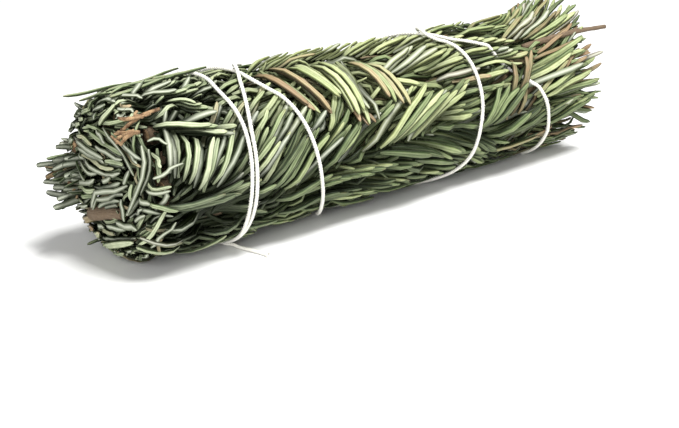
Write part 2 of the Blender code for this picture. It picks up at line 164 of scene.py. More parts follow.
ROW_CROWD = 1.35            # how many leaves the rows below have, and how wide they are,
ROW_WIDTH = 0.80            # for each one and each millimetre that is written there
WIDEST = 1.9                # before that
LOW_FROM = 184             # angle from which a row is in the shade
TIP_FROM = 27               # s from which a row is by the tips
# Rows on top are painted lighter and those from LOW_FROM on, round underneath, painted darker: painted light
# and shade. Rows by the tips are a little darker.
TOP_LIGHT, LOW_LIGHT, TIP_LIGHT = 1.25, 0.5, 0.8
# Rows of leaves on the side: (s, angle) of the first and the last root, how many, their course at
# both ends (degrees from the axis, upwards at the front), how much each one bends, its length and
# width, how light it is, how dry, and how likely it shows its pale underside
SIDE_ROWS = [
    ((-25, 97), (-18.5, 97), 5, -80, -78, 10, 16, 1.9, 0.50, 0.6, 0.0),
    ((-17.5, 98), (-13.5, 100), 3, -79, -72, 6, 13, 1.9, 0.85, 0.2, 0.0),
    ((-10.5, 101), (-3, 106), 6, -78, -84, -12, 17, 2.0, 1.0, 0.2, 0.1),
    ((-8.6, 134), (-7, 136), 2, -64, -60, -22, 9, 1.7, 0.4, 0.9, 0.0),
    ((-1, 108), (2.5, 112), 3, -72, -60, -26, 14, 2.0, 0.8, 0.35, 0.0),
    ((-57, 131), (-50, 137), 4, -10, -15, 0, 13, 1.9, 0.75, 0.0, 0.1),
    ((-57, 164), (-49, 181), 6, 80, 70, -12, 12, 1.9, 0.70, 0.0, 0.1),
    ((-58, 188), (-44, 203), 9, 0, 18, 15, 15, 1.8, 0.35, 0.0, 0.1),
    ((-58, 206), (-48, 216), 6, 5, 10, 8, 15, 1.8, 0.40, 0.0, 0.1),
    ((-48, 176), (-40, 188), 7, 57, 48, -8, 14, 1.7, 0.45, 0.1, 0.1),
    ((-47, 151), (-40, 160), 5, 52, 46, -8, 12, 1.7, 0.40, 0.2, 0.2),
    ((-50, 112), (-38, 128), 8, -38, -22, 6, 10, 1.6, 0.70, 0.0, 0.4),
    ((-56, 98), (-41, 110), 8, 8, 18, 4, 13, 1.7, 0.72, 0.0, 0.5),
    ((-37, 192), (-24, 197), 8, 54, 46, -8, 15, 1.7, 0.45, 0.0, 0.1),
    ((-37, 166), (-25, 173), 6, 52, 48, -6, 13, 1.7, 0.45, 0.1, 0.2),
    ((-37, 141), (-27, 150), 5, 38, 30, 0, 11, 1.7, 0.40, 0.3, 0.2),
    ((-37, 112), (-28, 125), 6, 15, 5, 0, 12, 1.7, 0.65, 0.0, 0.4),
    ((-21, 190), (-9, 183), 7, 54, 43, -8, 15, 1.8, 0.60, 0.0, 0.1),
    ((-7, 182), (13, 181), 10, 42, 33, -6, 18, 1.9, 0.72, 0.0, 0.1),
    ((-16, 160), (-9.5, 152), 4, 60, 52, -6, 10, 1.8, 0.70, 0.0, 0.6),
    ((-25, 86), (-3, 91), 10, 22, 20, 4, 13, 1.7, 0.85, 0.0, 0.1),
    ((0, 98), (16, 104), 8, 20, 12, 4, 14, 1.8, 0.85, 0.0, 0.1),
    ((3, 125), (16, 132), 7, 22, 8, 0, 14, 1.8, 0.75, 0.0, 0.1),
    ((8, 160), (22, 157), 6, 8, 0, 0, 14, 1.8, 0.60, 0.1, 0.1),
    ((4, 173), (16, 172), 6, 16, -8, 0, 14, 1.8, 0.60, 0.0, 0.2),
    ((-2, 187), (22, 187), 11, -12, -24, -10, 17, 2.0, 0.50, 0.0, 0.0),
    ((-30, 205), (-4, 204), 12, 10, 2, 4, 15, 1.8, 0.35, 0.0, 0.0),
    ((-28, 220), (10, 222), 14, 6, -6, 0, 15, 1.8, 0.30, 0.0, 0.0),
    ((6, 204), (24, 208), 8, -20, -6, 0, 15, 1.9, 0.45, 0.0, 0.0),
    ((20, 95), (36, 101), 7, -25, -38, 8, 12, 1.8, 0.80, 0.1, 0.1),
    ((24, 119), (36, 128), 6, 10, -20, 0, 11, 1.8, 0.60, 0.1, 0.3),
    ((18, 142), (27, 149), 4, 3, 0, 0, 12, 1.8, 0.50, 0.5, 0.1),
    ((28, 191), (34.5, 188), 4, 50, 46, -6, 13, 2.3, 0.60, 0.1, 0.0),
    ((37, 186), (40.5, 184), 2, 67, 62, 0, 17, 2.5, 0.45, 0.6, 0.0),
    ((43, 162), (46, 151), 4, 8, 15, 0, 19, 2.4, 0.80, 0.05, 0.3),
    ((46, 172), (54, 177), 5, 22, 8, 0, 14, 2.0, 0.60, 0.3, 0.4),
    ((31, 213), (56, 205), 10, 38, 30, -8, 15, 2.2, 0.40, 0.0, 0.1),
    ((44, 116), (56, 122), 6, 26, 10, 0, 14, 2.0, 0.60, 0.4, 0.3),
    ((40, 88), (56, 96), 7, 10, 24, 0, 13, 2.0, 0.70, 0.1, 0.2),
    ((50, 191), (57, 200), 5, 0, -15, 0, 13, 1.9, 0.45, 0.1, 0.1),
]
# Leaves that point back over the cut end
BACK_ROWS = [
    ((-50, 70), (-53, 118), 14, 172, 190, 8, 12, 1.5, 0.75, 0.0, 0.3),
    ((-52, 300), (-54, 428), 38, 176, 184, 10, 9, 1.6, 0.30, 0.15, 0.1),
    ((-52, 205), (-53, 296), 26, 170, 190, 0, 11, 1.6, 0.40, 0.2, 0.3),
]
# Kinds of leaf: how light, how dry, and whether the pale underside is up
KINDS = {
    "white": (1.5, 0.0, True), "pale": (1.1, 0.0, True), "grey": (0.55, 0.0, True),
    "lime": (1.0, 0.0, False), "green": (0.55, 0.0, False), "dark": (0.1, 0.0, False),
    "olive": (0.9, 0.3, False), "brown": (0.2, 0.9, False), "tan": (1.0, 0.75, False),
}
# Leaves of the sprig folded over the cut end, seen from outside and the topmost first: the kind,
# the width and the points passed, to the right of and above the axis
FACE_LEAVES = [
    ("pale", 1.4, [(12.7, 10.6), (14.2, 8.0), (14.8, 5.5), (14.4, 3.5), (13.3, 1.0), (12.2, -0.8),
                   (10.3, -3.8)]),
    ("white", 1.2, [(14.0, 10.0), (15.3, 7.2), (15.4, 4.6), (14.6, 2.4), (13.8, 0.6)]),
    ("white", 1.6, [(13.0, -0.1), (14.4, -0.4), (15.8, -0.9)]),
    ("green", 1.5, [(15.6, -1.0), (17.2, -1.6), (18.6, -2.4)]),
    ("white", 1.7, [(13.0, -0.4), (11.4, -2.2), (9.8, -4.3)]),
    ("pale", 1.4, [(8.0, -1.6), (8.3, -3.8), (8.6, -6.1)]),
    ("grey", 1.4, [(10.8, 5.2), (10.2, 3.6), (9.4, 2.0)]),
    ("pale", 1.6, [(10.0, 1.8), (6.0, 0.0), (2.0, -1.5), (-0.8, -2.4), (-2.5, -3.9), (-3.3, -6.0),
                   (-4.4, -8.8)]),
    ("white", 1.5, [(8.6, -0.4), (5.0, -1.7), (1.4, -3.1), (-1.2, -4.2), (-2.4, -6.4)]),
    ("grey", 1.4, [(7.2, -2.1), (3.4, -3.4), (0.4, -4.7), (-1.6, -6.2)]),
    ("pale", 1.2, [(6.4, -3.4), (3.2, -4.6), (0.6, -5.6)]),
    ("tan", 1.6, [(-2.6, -5.2), (-3.6, -7.2), (-4.6, -9.2)]),
    ("pale", 2.0, [(5.2, -7.4), (8.6, -7.2), (12.2, -6.8)]),
    ("grey", 1.5, [(1.2, -9.3), (4.0, -9.0), (7.6, -8.6)]),
    ("white", 1.4, [(-2.6, -10.1), (-1.4, -9.9), (0.2, -9.9)]),
    ("tan", 2.2, [(-12.4, -12.4), (-8.2, -10.6), (-4.4, -9.5)]),
    ("brown", 2.0, [(-10.8, -13.7), (-7.2, -12.5), (-4.2, -11.4)]),
    ("olive", 2.2, [(-10.6, -15.2), (-7.0, -14.2), (-3.2, -12.6), (-1.8, -11.6)]),
    ("lime", 2.1, [(-8.0, -17.1), (-3.4, -15.7), (1.6, -13.8), (6.0, -12.0), (10.2, -10.4)]),
    ("green", 1.7, [(-4.4, -18.0), (0.8, -16.3), (5.4, -14.4)]),
    ("white", 1.1, [(-3.2, -18.7), (0.8, -18.0), (3.4, -16.7), (5.4, -14.9)]),
    ("pale", 1.5, [(2.8, -12.0), (6.2, -10.8), (10.4, -9.5)]),
    ("grey", 1.4, [(-3.2, -13.7), (0.2, -12.8), (3.6, -11.7)]),
    ("olive", 1.6, [(-2.6, -11.6), (1.0, -11.0), (4.6, -10.2)]),
    ("grey", 1.1, [(6.0, -14.1), (7.2, -13.7), (8.8, -12.8)]),
    ("grey", 1.1, [(8.4, -15.3), (9.8, -14.4), (11.2, -13.2)]),
    ("dark", 1.2, [(6.6, -16.2), (8.2, -15.4), (9.6, -14.2)]),
    ("lime", 1.3, [(10.8, -11.2), (13.8, -8.9), (16.6, -5.4), (18.1, -1.8)]),
    ("pale", 1.1, [(12.6, -11.8), (15.4, -8.8), (17.8, -5.0)]),
    ("green", 1.3, [(10.2, -10.4), (13.2, -8.5), (15.8, -6.0)]),
    ("green", 1.3, [(11.8, -9.0), (14.2, -7.2), (16.6, -4.6)]),
    ("pale", 1.1, [(12.2, -7.8), (14.6, -6.0), (17.0, -3.4)]),
    ("grey", 1.1, [(10.8, -5.9), (12.8, -4.6), (14.8, -3.3)]),
    ("grey", 1.2, [(10.2, -5.0), (11.8, -3.6), (14.6, -2.2)]),
    ("grey", 1.2, [(13.2, -2.0), (15.4, -2.6), (18.0, -4.0)]),
    ("pale", 1.0, [(15.0, 1.9), (16.6, 1.2), (18.2, 1.9)]),
    ("green", 1.1, [(15.2, 3.4), (16.4, 2.4), (18.2, 2.6)]),
    ("lime", 1.2, [(14.6, 9.4), (15.8, 8.2), (16.8, 6.6)]),
    ("pale", 1.1, [(17.8, 6.8), (17.3, 5.5), (16.2, 4.4)]),
    ("white", 0.9, [(13.2, 11.4), (14.4, 11.6), (15.6, 10.6)]),
    ("green", 1.3, [(11.6, 2.5), (11.2, 0.6), (10.4, -1.8)]),
    ("dark", 1.2, [(12.8, 2.6), (11.9, 0.8), (11.2, -1.2)]),
    ("white", 1.5, [(1.8, 0.7), (3.4, 1.4), (5.2, 2.2)]),
    ("white", 1.3, [(-0.8, 7.6), (2.6, 7.3), (9.2, 6.9)]),
    ("olive", 1.3, [(-9.0, 7.6), (-6.0, 7.9), (-1.6, 7.8)]),
    ("white", 1.5, [(-9.4, 6.5), (-5.0, 6.1), (-0.6, 6.0), (2.8, 5.9)]),
    ("green", 1.5, [(3.0, 5.4), (6.0, 5.8), (9.6, 6.2)]),
    ("pale", 1.5, [(-8.7, 5.2), (-4.4, 5.1), (-0.2, 4.9), (2.8, 5.0)]),
    ("tan", 0.9, [(1.2, 6.7), (1.8, 5.9), (1.5, 4.9)]),
    ("olive", 1.4, [(-6.6, 4.2), (-3.0, 4.1), (1.6, 4.1), (6.4, 4.5)]),
    ("pale", 1.4, [(-6.2, 3.5), (-4.4, 2.7), (-1.0, 2.4), (3.4, 2.6), (8.6, 4.2)]),
    ("white", 1.4, [(-7.3, 2.6), (-5.6, 1.7), (-3.2, 1.2), (-1.0, 1.3)]),
    ("pale", 1.5, [(-8.2, 4.9), (-7.4, 3.8), (-6.7, 2.9)]),
    ("grey", 1.8, [(-9.8, 2.3), (-8.4, 0.7), (-6.6, -0.3), (-4.6, -0.5)]),
    ("dark", 1.4, [(2.8, 3.5), (6.0, 3.7), (8.8, 4.9)]),
    ("grey", 1.3, [(3.4, 4.9), (6.4, 5.1), (9.2, 5.6)]),
    ("white", 1.6, [(-17.2, -5.3), (-13.2, -3.8), (-9.0, -2.4), (-5.0, -1.5), (-2.2, -0.5), (-0.6, 0.6)]),
    ("green", 1.6, [(-9.4, -3.7), (-5.4, -3.1), (-2.0, -2.4)]),
    ("grey", 1.5, [(-3.2, -2.0), (0.6, -1.0), (4.6, 0.5), (8.6, 2.2)]),
    ("dark", 1.5, [(-8.4, -5.5), (-5.6, -4.6), (-3.2, -4.1)]),
    ("white", 1.3, [(-0.8, 10.9), (1.2, 10.1), (3.4, 9.2)]),
    ("pale", 1.3, [(1.6, 12.0), (4.0, 10.8), (7.0, 9.4), (10.0, 7.1), (12.7, 4.6)]),
    ("green", 1.7, [(-3.6, 9.9), (0.4, 8.9), (4.6, 8.5), (8.8, 7.9)]),
    ("grey", 1.1, [(8.2, 10.4), (11.0, 9.3), (13.6, 7.9)]),
    ("grey", 1.0, [(7.6, 9.6), (10.4, 8.7), (13.0, 7.0)]),
    ("dark", 1.1, [(4.6, 11.6), (7.0, 10.9), (9.4, 10.2)]),
    ("lime", 1.7, [(0.2, 12.3), (1.6, 14.0), (3.4, 16.5)]),
    ("lime", 1.2, [(0.6, 12.5), (4.2, 13.6), (8.8, 14.9)]),
    ("white", 1.0, [(3.6, 16.4), (5.6, 16.2), (7.8, 15.9)]),
    ("white", 1.2, [(4.8, 15.4), (5.8, 15.2), (6.8, 15.4)]),
    ("white", 1.3, [(-10.4, 9.7), (-13.2, 8.6), (-17.0, 7.0)]),
    ("lime", 1.6, [(-8.0, 10.5), (-11.6, 9.9), (-16.4, 8.0)]),
    ("lime", 1.6, [(-6.6, 11.8), (-11.6, 10.8), (-16.8, 9.2)]),
    ("lime", 1.7, [(-4.6, 14.4), (-8.0, 13.0), (-13.0, 11.6), (-16.2, 10.2)]),
    ("green", 1.6, [(-4.6, 15.2), (-9.0, 14.3), (-14.0, 12.8)]),
    ("green", 1.6, [(-1.8, 18.1), (-7.0, 16.4), (-13.0, 14.6)]),
    ("white", 1.5, [(-5.4, 15.0), (-3.2, 16.2), (0.0, 17.1), (2.6, 16.9)]),
    ("pale", 1.4, [(-4.2, 14.2), (-2.4, 15.4), (0.8, 16.2)]),
    ("grey", 1.5, [(-3.8, 13.6), (-2.6, 14.3), (-1.2, 13.3)]),
    ("white", 1.3, [(-1.2, 18.2), (2.4, 18.4), (6.2, 17.8)]),
    ("tan", 1.3, [(2.4, 17.9), (4.2, 17.1), (6.2, 16.8)]),
    ("pale", 2.0, [(-17.4, 4.5), (-14.2, 5.3), (-11.0, 6.4)]),
    ("white", 1.9, [(-17.5, 2.9), (-14.2, 3.7), (-11.2, 4.8)]),
    ("pale", 1.8, [(-17.6, 1.1), (-14.2, 2.0), (-11.6, 2.9)]),
    ("grey", 1.8, [(-17.2, -0.8), (-14.0, 0.2), (-11.4, 1.1)]),
    ("pale", 1.8, [(-16.6, -2.8), (-13.6, -2.0), (-11.2, -1.1)]),
    ("brown", 1.9, [(-15.6, -7.7), (-12.6, -6.7), (-9.8, -5.7)]),
    ("pale", 1.3, [(-15.4, -10.5), (-11.2, -8.9), (-7.4, -7.5), (-5.0, -6.4)]),
    ("grey", 1.5, [(-14.6, -11.7), (-10.6, -10.0), (-6.8, -8.8)]),
]
# Single leaves along the top, which reach back over the cut end: the first s, the last, the angle,
# the radius at both, and the width
STRAYS = [
    (-52.5, -68.2, 79, 18.2, 18.8, 1.3), (-39.5, -55.0, 78, 19.3, 18.3, 1.2),
    (-43.0, -58.5, 84, 18.9, 18.0, 1.3), (-50.0, -62.5, 68, 18.4, 17.2, 1.2),
    (-46.0, -60.0, 92, 18.9, 17.6, 1.3), (-35.0, -48.0, 86, 19.1, 18.7, 1.3),
]
# How most leaves of the folded sprig lie: a place, and their course from the right
FACE_FLOW = [
    ((-14, 2), 18), ((-13, 11), 20), ((-5, 14), 24), ((-3, 6), 0), ((4, 8), -8), ((9, 9), -24),
    ((4, 2), 8), ((-6, -2), 18), ((3, -3), 24), ((-10, -8), 20), ((2, -9), 12), ((-4, -14), 20),
    ((6, -12), 24), ((13, -9), 42), ((16, -5), 55), ((12, -3), 48), ((14, 4), -95), ((15, 9), -50),
    ((8, 14), 15), ((11, 0), -100),
]
FACE_TRIES = 1500           # how many more leaves are tried there
FACE_REACH = 18.4           # how far from the axis they may reach


def body_radius(s):
    """Radius of the bundle before its cut end is rounded."""
    return RADIUS_MIDDLE + RADIUS_TAPER * s


def axis_height(s):
    """Height of the axis, so that the lowest line of the bundle lies flat on Z = 0."""
    return body_radius(s) - PRESSED


def surface(s, angle):
    """Radius of the bundle's surface, without the grooves that the string presses in it."""
    turn = np.radians(angle)
    radius = body_radius(s) + LUMP * np.sin(3.0 * turn + 0.11 * s) * np.cos(0.07 * s - turn)
    past = np.clip((SHOULDER_START - s) / SHOULDER_LENGTH, 0.0, 0.94)
    radius = radius - SHOULDER_DROP * (1.0 - np.sqrt(1.0 - past * past))
    radius = radius + FLARE * np.maximum(s - FLARE_START, 0.0) * np.maximum(np.sin(turn), -0.2)
    below = np.maximum(-np.sin(turn), 1e-6)
    return np.minimum(radius, axis_height(s) / below)


def place(s, angle, radius):
    """Points of the stick, in metres."""
    turn = np.radians(angle)
    return np.stack([s, radius * np.cos(turn), axis_height(s) + radius * np.sin(turn)], -1) * MM


def outward(angle):
    turn = np.radians(angle)
    return np.stack([np.zeros_like(turn), np.cos(turn), np.sin(turn)], -1)


def unit(vectors):
    return vectors / np.maximum(np.linalg.norm(vectors, axis=-1, keepdims=True), 1e-12)


def smooth(share):
    share = np.clip(share, 0.0, 1.0)
    return share * share * (3.0 - 2.0 * share)


def evened(line):
    """A line's inner values, each evened out with those beside it."""
    return (line[:-2] + 2.0 * line[1:-1] + line[2:]) / 4.0


def run(points):
    """How far along a line of points each one is."""
    return np.append(0.0, np.cumsum(np.linalg.norm(np.diff(points, axis=0), axis=1)))


def eased(x, span, start, end, slope0, slope1):
    """A value between two others, from its share of the way and the slopes at both."""
    return ((2 * x**3 - 3 * x**2 + 1) * start + (x**3 - 2 * x**2 + x) * span * slope0
            + (3 * x**2 - 2 * x**3) * end + (x**3 - x**2) * span * slope1)


def smooth_line(knots, values, t):
    """Values on a smooth line through a few knots."""
    slopes = np.gradient(values, knots)
    i = np.clip(np.searchsorted(knots, t) - 1, 0, len(knots) - 2)
    span = knots[i + 1] - knots[i]
    return eased((t - knots[i]) / span, span, values[i], values[i + 1], slopes[i], slopes[i + 1])


def line_through(route, steps):
    """The columns of a smooth line through a few points, and each step's share of the way."""
    route = np.array(route, float)
    knots = run(route)
    t = np.linspace(0.0, knots[-1], steps)
    return [smooth_line(knots, column, t) for column in route.T], t / knots[-1]


def route_at(angle):
    """Where along the axis the string is, once it has been wound to an angle."""
    last = len(STRING_ROUTE) - 1
    spot = next((i for i in range(last) if angle <= STRING_ROUTE[i + 1][0]), last - 1)
    (a0, s0), (a1, s1) = STRING_ROUTE[spot:spot + 2]
    before, after = STRING_ROUTE[max(spot - 1, 0)], STRING_ROUTE[min(spot + 2, last)]
    return eased((angle - a0) / (a1 - a0), a1 - a0, s0, s1,
                 (s1 - before[1]) / (a1 - before[0]), (after[1] - s0) / (after[0] - a0))


def string_angles(step):
    first, last = STRING_ROUTE[0][0], STRING_ROUTE[-1][0]
    return np.linspace(first, last, round((last - first) / step) + 1)


def pressed_in(s, angle):
    """How far the string and its knot press the leaves in."""
    wound = np.array([(route_at(a), a % 360.0) for a in string_angles(3.0)
                      if not HIDDEN[0] + 4.0 < a < HIDDEN[1] - 4.0] + [KNOT_PLACE])
    across = (angle[..., None] - wound[:, 1] + 180.0) % 360.0 - 180.0
    gaps = np.hypot(s[..., None] - wound[:, 0], np.radians(across) * RADIUS_MIDDLE)
    groove = GROOVE * np.exp(-(gaps[..., :-1].min(-1) / GROOVE_WIDTH) ** 2)
    beside_knot = np.maximum(gaps[..., -1] - KNOT_HALF, 0.0)
    return np.maximum(groove, (GROOVE + KNOT_DEPTH) * np.exp(-(beside_knot / GROOVE_WIDTH) ** 2))


class Bed:
    """A stretch of the stick's surface, unrolled flat, on which leaves are laid from the outside in.

    It keeps, for each small square, how high the next leaf may lie there. So leaves pass under
    those laid before them and never through them, as in a bundle that string presses together.
    """
    up = 1.0
    leaning = -1.0          # whether a leaf leans to the left by rolling forwards or back
    MOST_LEAN = 0.6

    def __init__(self, low, high, room):
        self.low = low
        self.shape = [math.ceil((b - a) / CELL) for a, b in zip(low, high)]
        first = [a + (np.arange(n) + 0.5) * CELL for a, n in zip(low, self.shape)]
        self.room = np.stack([room(np.full(self.shape[1], u), first[1]) for u in first[0]])

    def squares(self, u, v):
        i = np.clip(((u - self.low[0]) / CELL).astype(int), 0, self.shape[0] - 1)
        return i, self.wrap(((v - self.low[1]) / CELL).astype(int))

    def wrap(self, j):
        return np.clip(j, 0, self.shape[1] - 1)

    def lay(self, u, v, width, thick, root):
        """Height of a leaf's middle line along its path and how much it leans to its left.

        A leaf whose one side is under another leans, as shingles do. Then its place is marked as taken.
        """
        share = np.linspace(0.0, 1.0, len(u))
        ahead_u, ahead_v = np.gradient(u), np.gradient(v)
        size = np.maximum(np.hypot(ahead_u, ahead_v), 1e-9)
        side_u, side_v = -ahead_v / size, ahead_u / size
        half = 0.5 * width * np.interp(share, RINGS, RING_WIDTH)
        free = [self.room[self.squares(u + side_u * half * across, v + side_v * half * across)]
                for across in (-0.8, -0.4, 0.0, 0.4, 0.8)]
        right, left = np.minimum(free[0], free[1]), np.minimum(free[3], free[4])
        lean = np.clip((left - right) / (1.6 * half), -self.MOST_LEAN, self.MOST_LEAN)
        for _ in range(6):
            lean[1:-1] = evened(lean)
        limit = np.minimum(right + 0.8 * half * lean, left - 0.8 * half * lean)
        limit = np.minimum(limit, free[2]) - 0.5 * thick
        limit = np.minimum(limit, -root * (1.0 - smooth(share / 0.28)) ** 1.5)
        height = limit.copy()
        for _ in range(9):
            height[1:-1] = np.minimum(limit[1:-1], evened(height))
            height[-1] = min(limit[-1], 2.0 * height[-2] - height[-3])
        for _ in range(7):
            height[1:-1] = evened(height)
        fine = np.linspace(0.0, 1.0, 3 * len(u))
        fu, fv, su, sv, level, slant, reach = (
            np.interp(fine, share, line) for line in (u, v, side_u, side_v, height, lean, half))
        for across in np.linspace(-1.0, 1.0, 9):
            spots = self.squares(fu + su * reach * across, fv + sv * reach * across)
            np.minimum.at(self.room, spots, level - 0.42 * thick + slant * reach * across)
        return height, lean


class SideBed(Bed):
    """The round side of the bundle: u is s, and v the way round at the unrolled radius."""
    up = -1.0
    leaning = 1.0

    def __init__(self, depth, grooved):
        def room(s, v):
            return -depth - (pressed_in(s, np.degrees(v / UNROLLED)) if grooved else np.zeros_like(s))
        super().__init__((-72.0, 0.0), (74.0, ROUND), room)

    def wrap(self, j):
        return j % self.shape[1]

    def put(self, u, v, height, overhang=False):
        """Points at a height over the surface, and the way out there."""
        angle = np.degrees(v / UNROLLED)
        radius = surface(u, angle)
        out = outward(angle)
        if overhang:
            radius = np.maximum(radius, surface(np.full_like(u, SHOULDER_START), angle) - 1.5)
        else:
            out[:, 0] -= surface(u + 0.5, angle) - surface(u - 0.5, angle)
        out = unit(out)
        return place(u, angle, radius) + out * (height * MM)[:, None], out


class FaceBed(Bed):
    """The domed cut end, seen from outside: u is to the right (-Y), and v is up."""
    EDGE = 13.6
    DOME = 1.4
    FACE = -62.4
    HALF = 19.5

    def __init__(self):
        super().__init__((-self.HALF, -self.HALF), (self.HALF, self.HALF), lambda u, v: np.zeros_like(u))

    def profile(self, rho):
        """Where the dome is along the axis, this far from it."""
        fall = np.clip(1.0 - (body_radius(-58.0) - rho) / SHOULDER_DROP, 0.0, 1.0)
        rounded = SHOULDER_START - SHOULDER_LENGTH * np.sqrt(1.0 - fall * fall)
        middle = self.FACE - self.DOME * (1.0 - np.minimum(rho / self.EDGE, 1.0) ** 2)
        return np.where(rho < self.EDGE, middle, np.maximum(rounded, self.FACE))

    def put(self, u, v, height):
        rho = np.hypot(u, v)
        s = self.profile(rho)
        slope = (self.profile(rho + 0.4) - self.profile(np.maximum(rho - 0.4, 0.0))) / 0.8
        slope = slope / np.maximum(rho, 1.0)
        out = unit(np.stack([-np.ones_like(u), -u * slope, v * slope], -1))
        points = np.stack([s, -u, np.maximum(axis_height(s) + v, 0.4)], -1)
        return points * MM + out * (height * MM)[:, None], out


class Sprig:
    """Collects the leaves and twigs of one piece, and builds its mesh."""

    def __init__(self):
        self.leaves = []
        self.twigs = []

    # Deep is how much painted shade a leaf gets for lying inside the bundle: all of it unless given less
    def add_leaf(self, centres, out, width, thick, roll, curl, light, dry, seed, deep=1.0):
        self.leaves.append((centres, out, width, thick, roll + 0.0 * RINGS, curl, light, dry, seed,
                            deep + 0.0 * RINGS))

    def add_twig(self, points, radii, seed, cut=(True, True), bare=False):
        """A twig through points in metres: with bark or bare, and with a tan cut at either end if asked."""
        self.twigs.append((points, radii, seed, cut, bare))

    def build(self, name, materials):
        twigs = [twig_mesh(*twig, i, len(self.twigs)) for i, twig in enumerate(self.twigs)]
        return make_mesh(name, [leaf_meshes(self.leaves)] + twigs, materials, SHADES)


def make_mesh(name, parts, materials, shades=()):
    """A mesh of four-sided faces from its parts, with its UV map and its attributes."""
    sizes = [len(part["points"]) for part in parts]
    points = np.concatenate([part["points"] for part in parts])
    points[:, 2] = np.maximum(points[:, 2], 0.0)
    starts = np.cumsum([0] + sizes)
    quads = np.concatenate([part["faces"] + start for part, start in zip(parts, starts)])
    mesh = bpy.data.meshes.new(name)
    mesh.vertices.add(len(points))
    mesh.loops.add(quads.size)
    mesh.polygons.add(len(quads))
    mesh.vertices.foreach_set("co", points.astype(np.float32).ravel())
    mesh.loops.foreach_set("vertex_index", quads.astype(np.int32).ravel())
    mesh.polygons.foreach_set("loop_start", np.arange(0, quads.size, 4, dtype=np.int32))
    mesh.polygons.foreach_set("loop_total", np.full(len(quads), 4, np.int32))
    mesh.polygons.foreach_set("use_smooth", np.ones(len(quads), bool))
    spots = [part.get("spots", np.zeros(len(part["faces"]))) for part in parts]
    mesh.polygons.foreach_set("material_index", np.concatenate(spots).astype(np.int32))
    mesh.update(calc_edges=True)
    uv = np.concatenate([part["uv"].reshape(-1, 2) for part in parts])
    mesh.uv_layers.new(name="OFBake").data.foreach_set("uv", uv.astype(np.float32).ravel())
    for key in shades:
        values = [part.get(key, np.zeros(size)) for part, size in zip(parts, sizes)]
        layer = mesh.attributes.new(key, "FLOAT", "POINT")
        layer.data.foreach_set("value", np.concatenate(values).astype(np.float32))
    grain = np.concatenate([part["grain"] for part in parts])
    layer = mesh.attributes.new("grain", "FLOAT_VECTOR", "POINT")
    layer.data.foreach_set("vector", grain.astype(np.float32).ravel())
    for material in materials:
        mesh.materials.append(material)
    mesh.validate()
    piece = bpy.data.objects.new(name, mesh)
    bpy.context.scene.collection.objects.link(piece)
    return piece


def ring_quads(rings, sides):
    """Faces of one tube of rings, closed at both ends. Sides is even."""
    quads = [(r * sides + k, r * sides + (k + 1) % sides, (r + 1) * sides + (k + 1) % sides,
              (r + 1) * sides + k) for r in range(rings - 1) for k in range(sides)]
    for base, turned in ((0, True), ((rings - 1) * sides, False)):
        for k in range(1, sides // 2):
            quad = [base + c for c in (k - 1, k, sides - 1 - k, sides - k)]
            quads.append(quad[::-1] if turned else quad)
    return np.array(quads)


def ring_uv(sides, lengths):
    """UV corners in a unit cell for the faces that ring_quads makes."""
    uv = [[(a, k / sides), (a, (k + 1) / sides), (b, (k + 1) / sides), (b, k / sides)]
          for a, b in zip(lengths[:-1], lengths[1:]) for k in range(sides)]
    for end in (0.0, 0.975):
        for k in range(1, sides // 2):
            a, b = 2.0 * (k - 1) / sides, 2.0 * k / sides
            uv.append([(end, a), (end + 0.02, a), (end + 0.02, b), (end, b)])
    return np.array(uv)


def carried(points, spare):
    """Two directions across a line of points, carried along it without turning round it."""
    ahead = unit(np.gradient(points, axis=0))
    normal = np.array([0.0, 0.0, 1.0]) if abs(ahead[0][2]) < 0.8 else np.array(spare)
    normals = []
    for a in ahead:
        normal = unit(normal - a * (normal @ a))
        normals.append(normal)
    return np.array(normals), np.cross(ahead, normals)


def ring_points(points, reach, spare):
    """Rings round a line, from the radius at each of their points."""
    normals, across = carried(points, spare)
    turn = 2.0 * math.pi * np.arange(reach.shape[1])[:, None] / reach.shape[1]
    around = normals[:, None] * np.sin(turn) - across[:, None] * np.cos(turn)
    return (points[:, None] + around * reach[..., None] * MM).reshape(-1, 3)


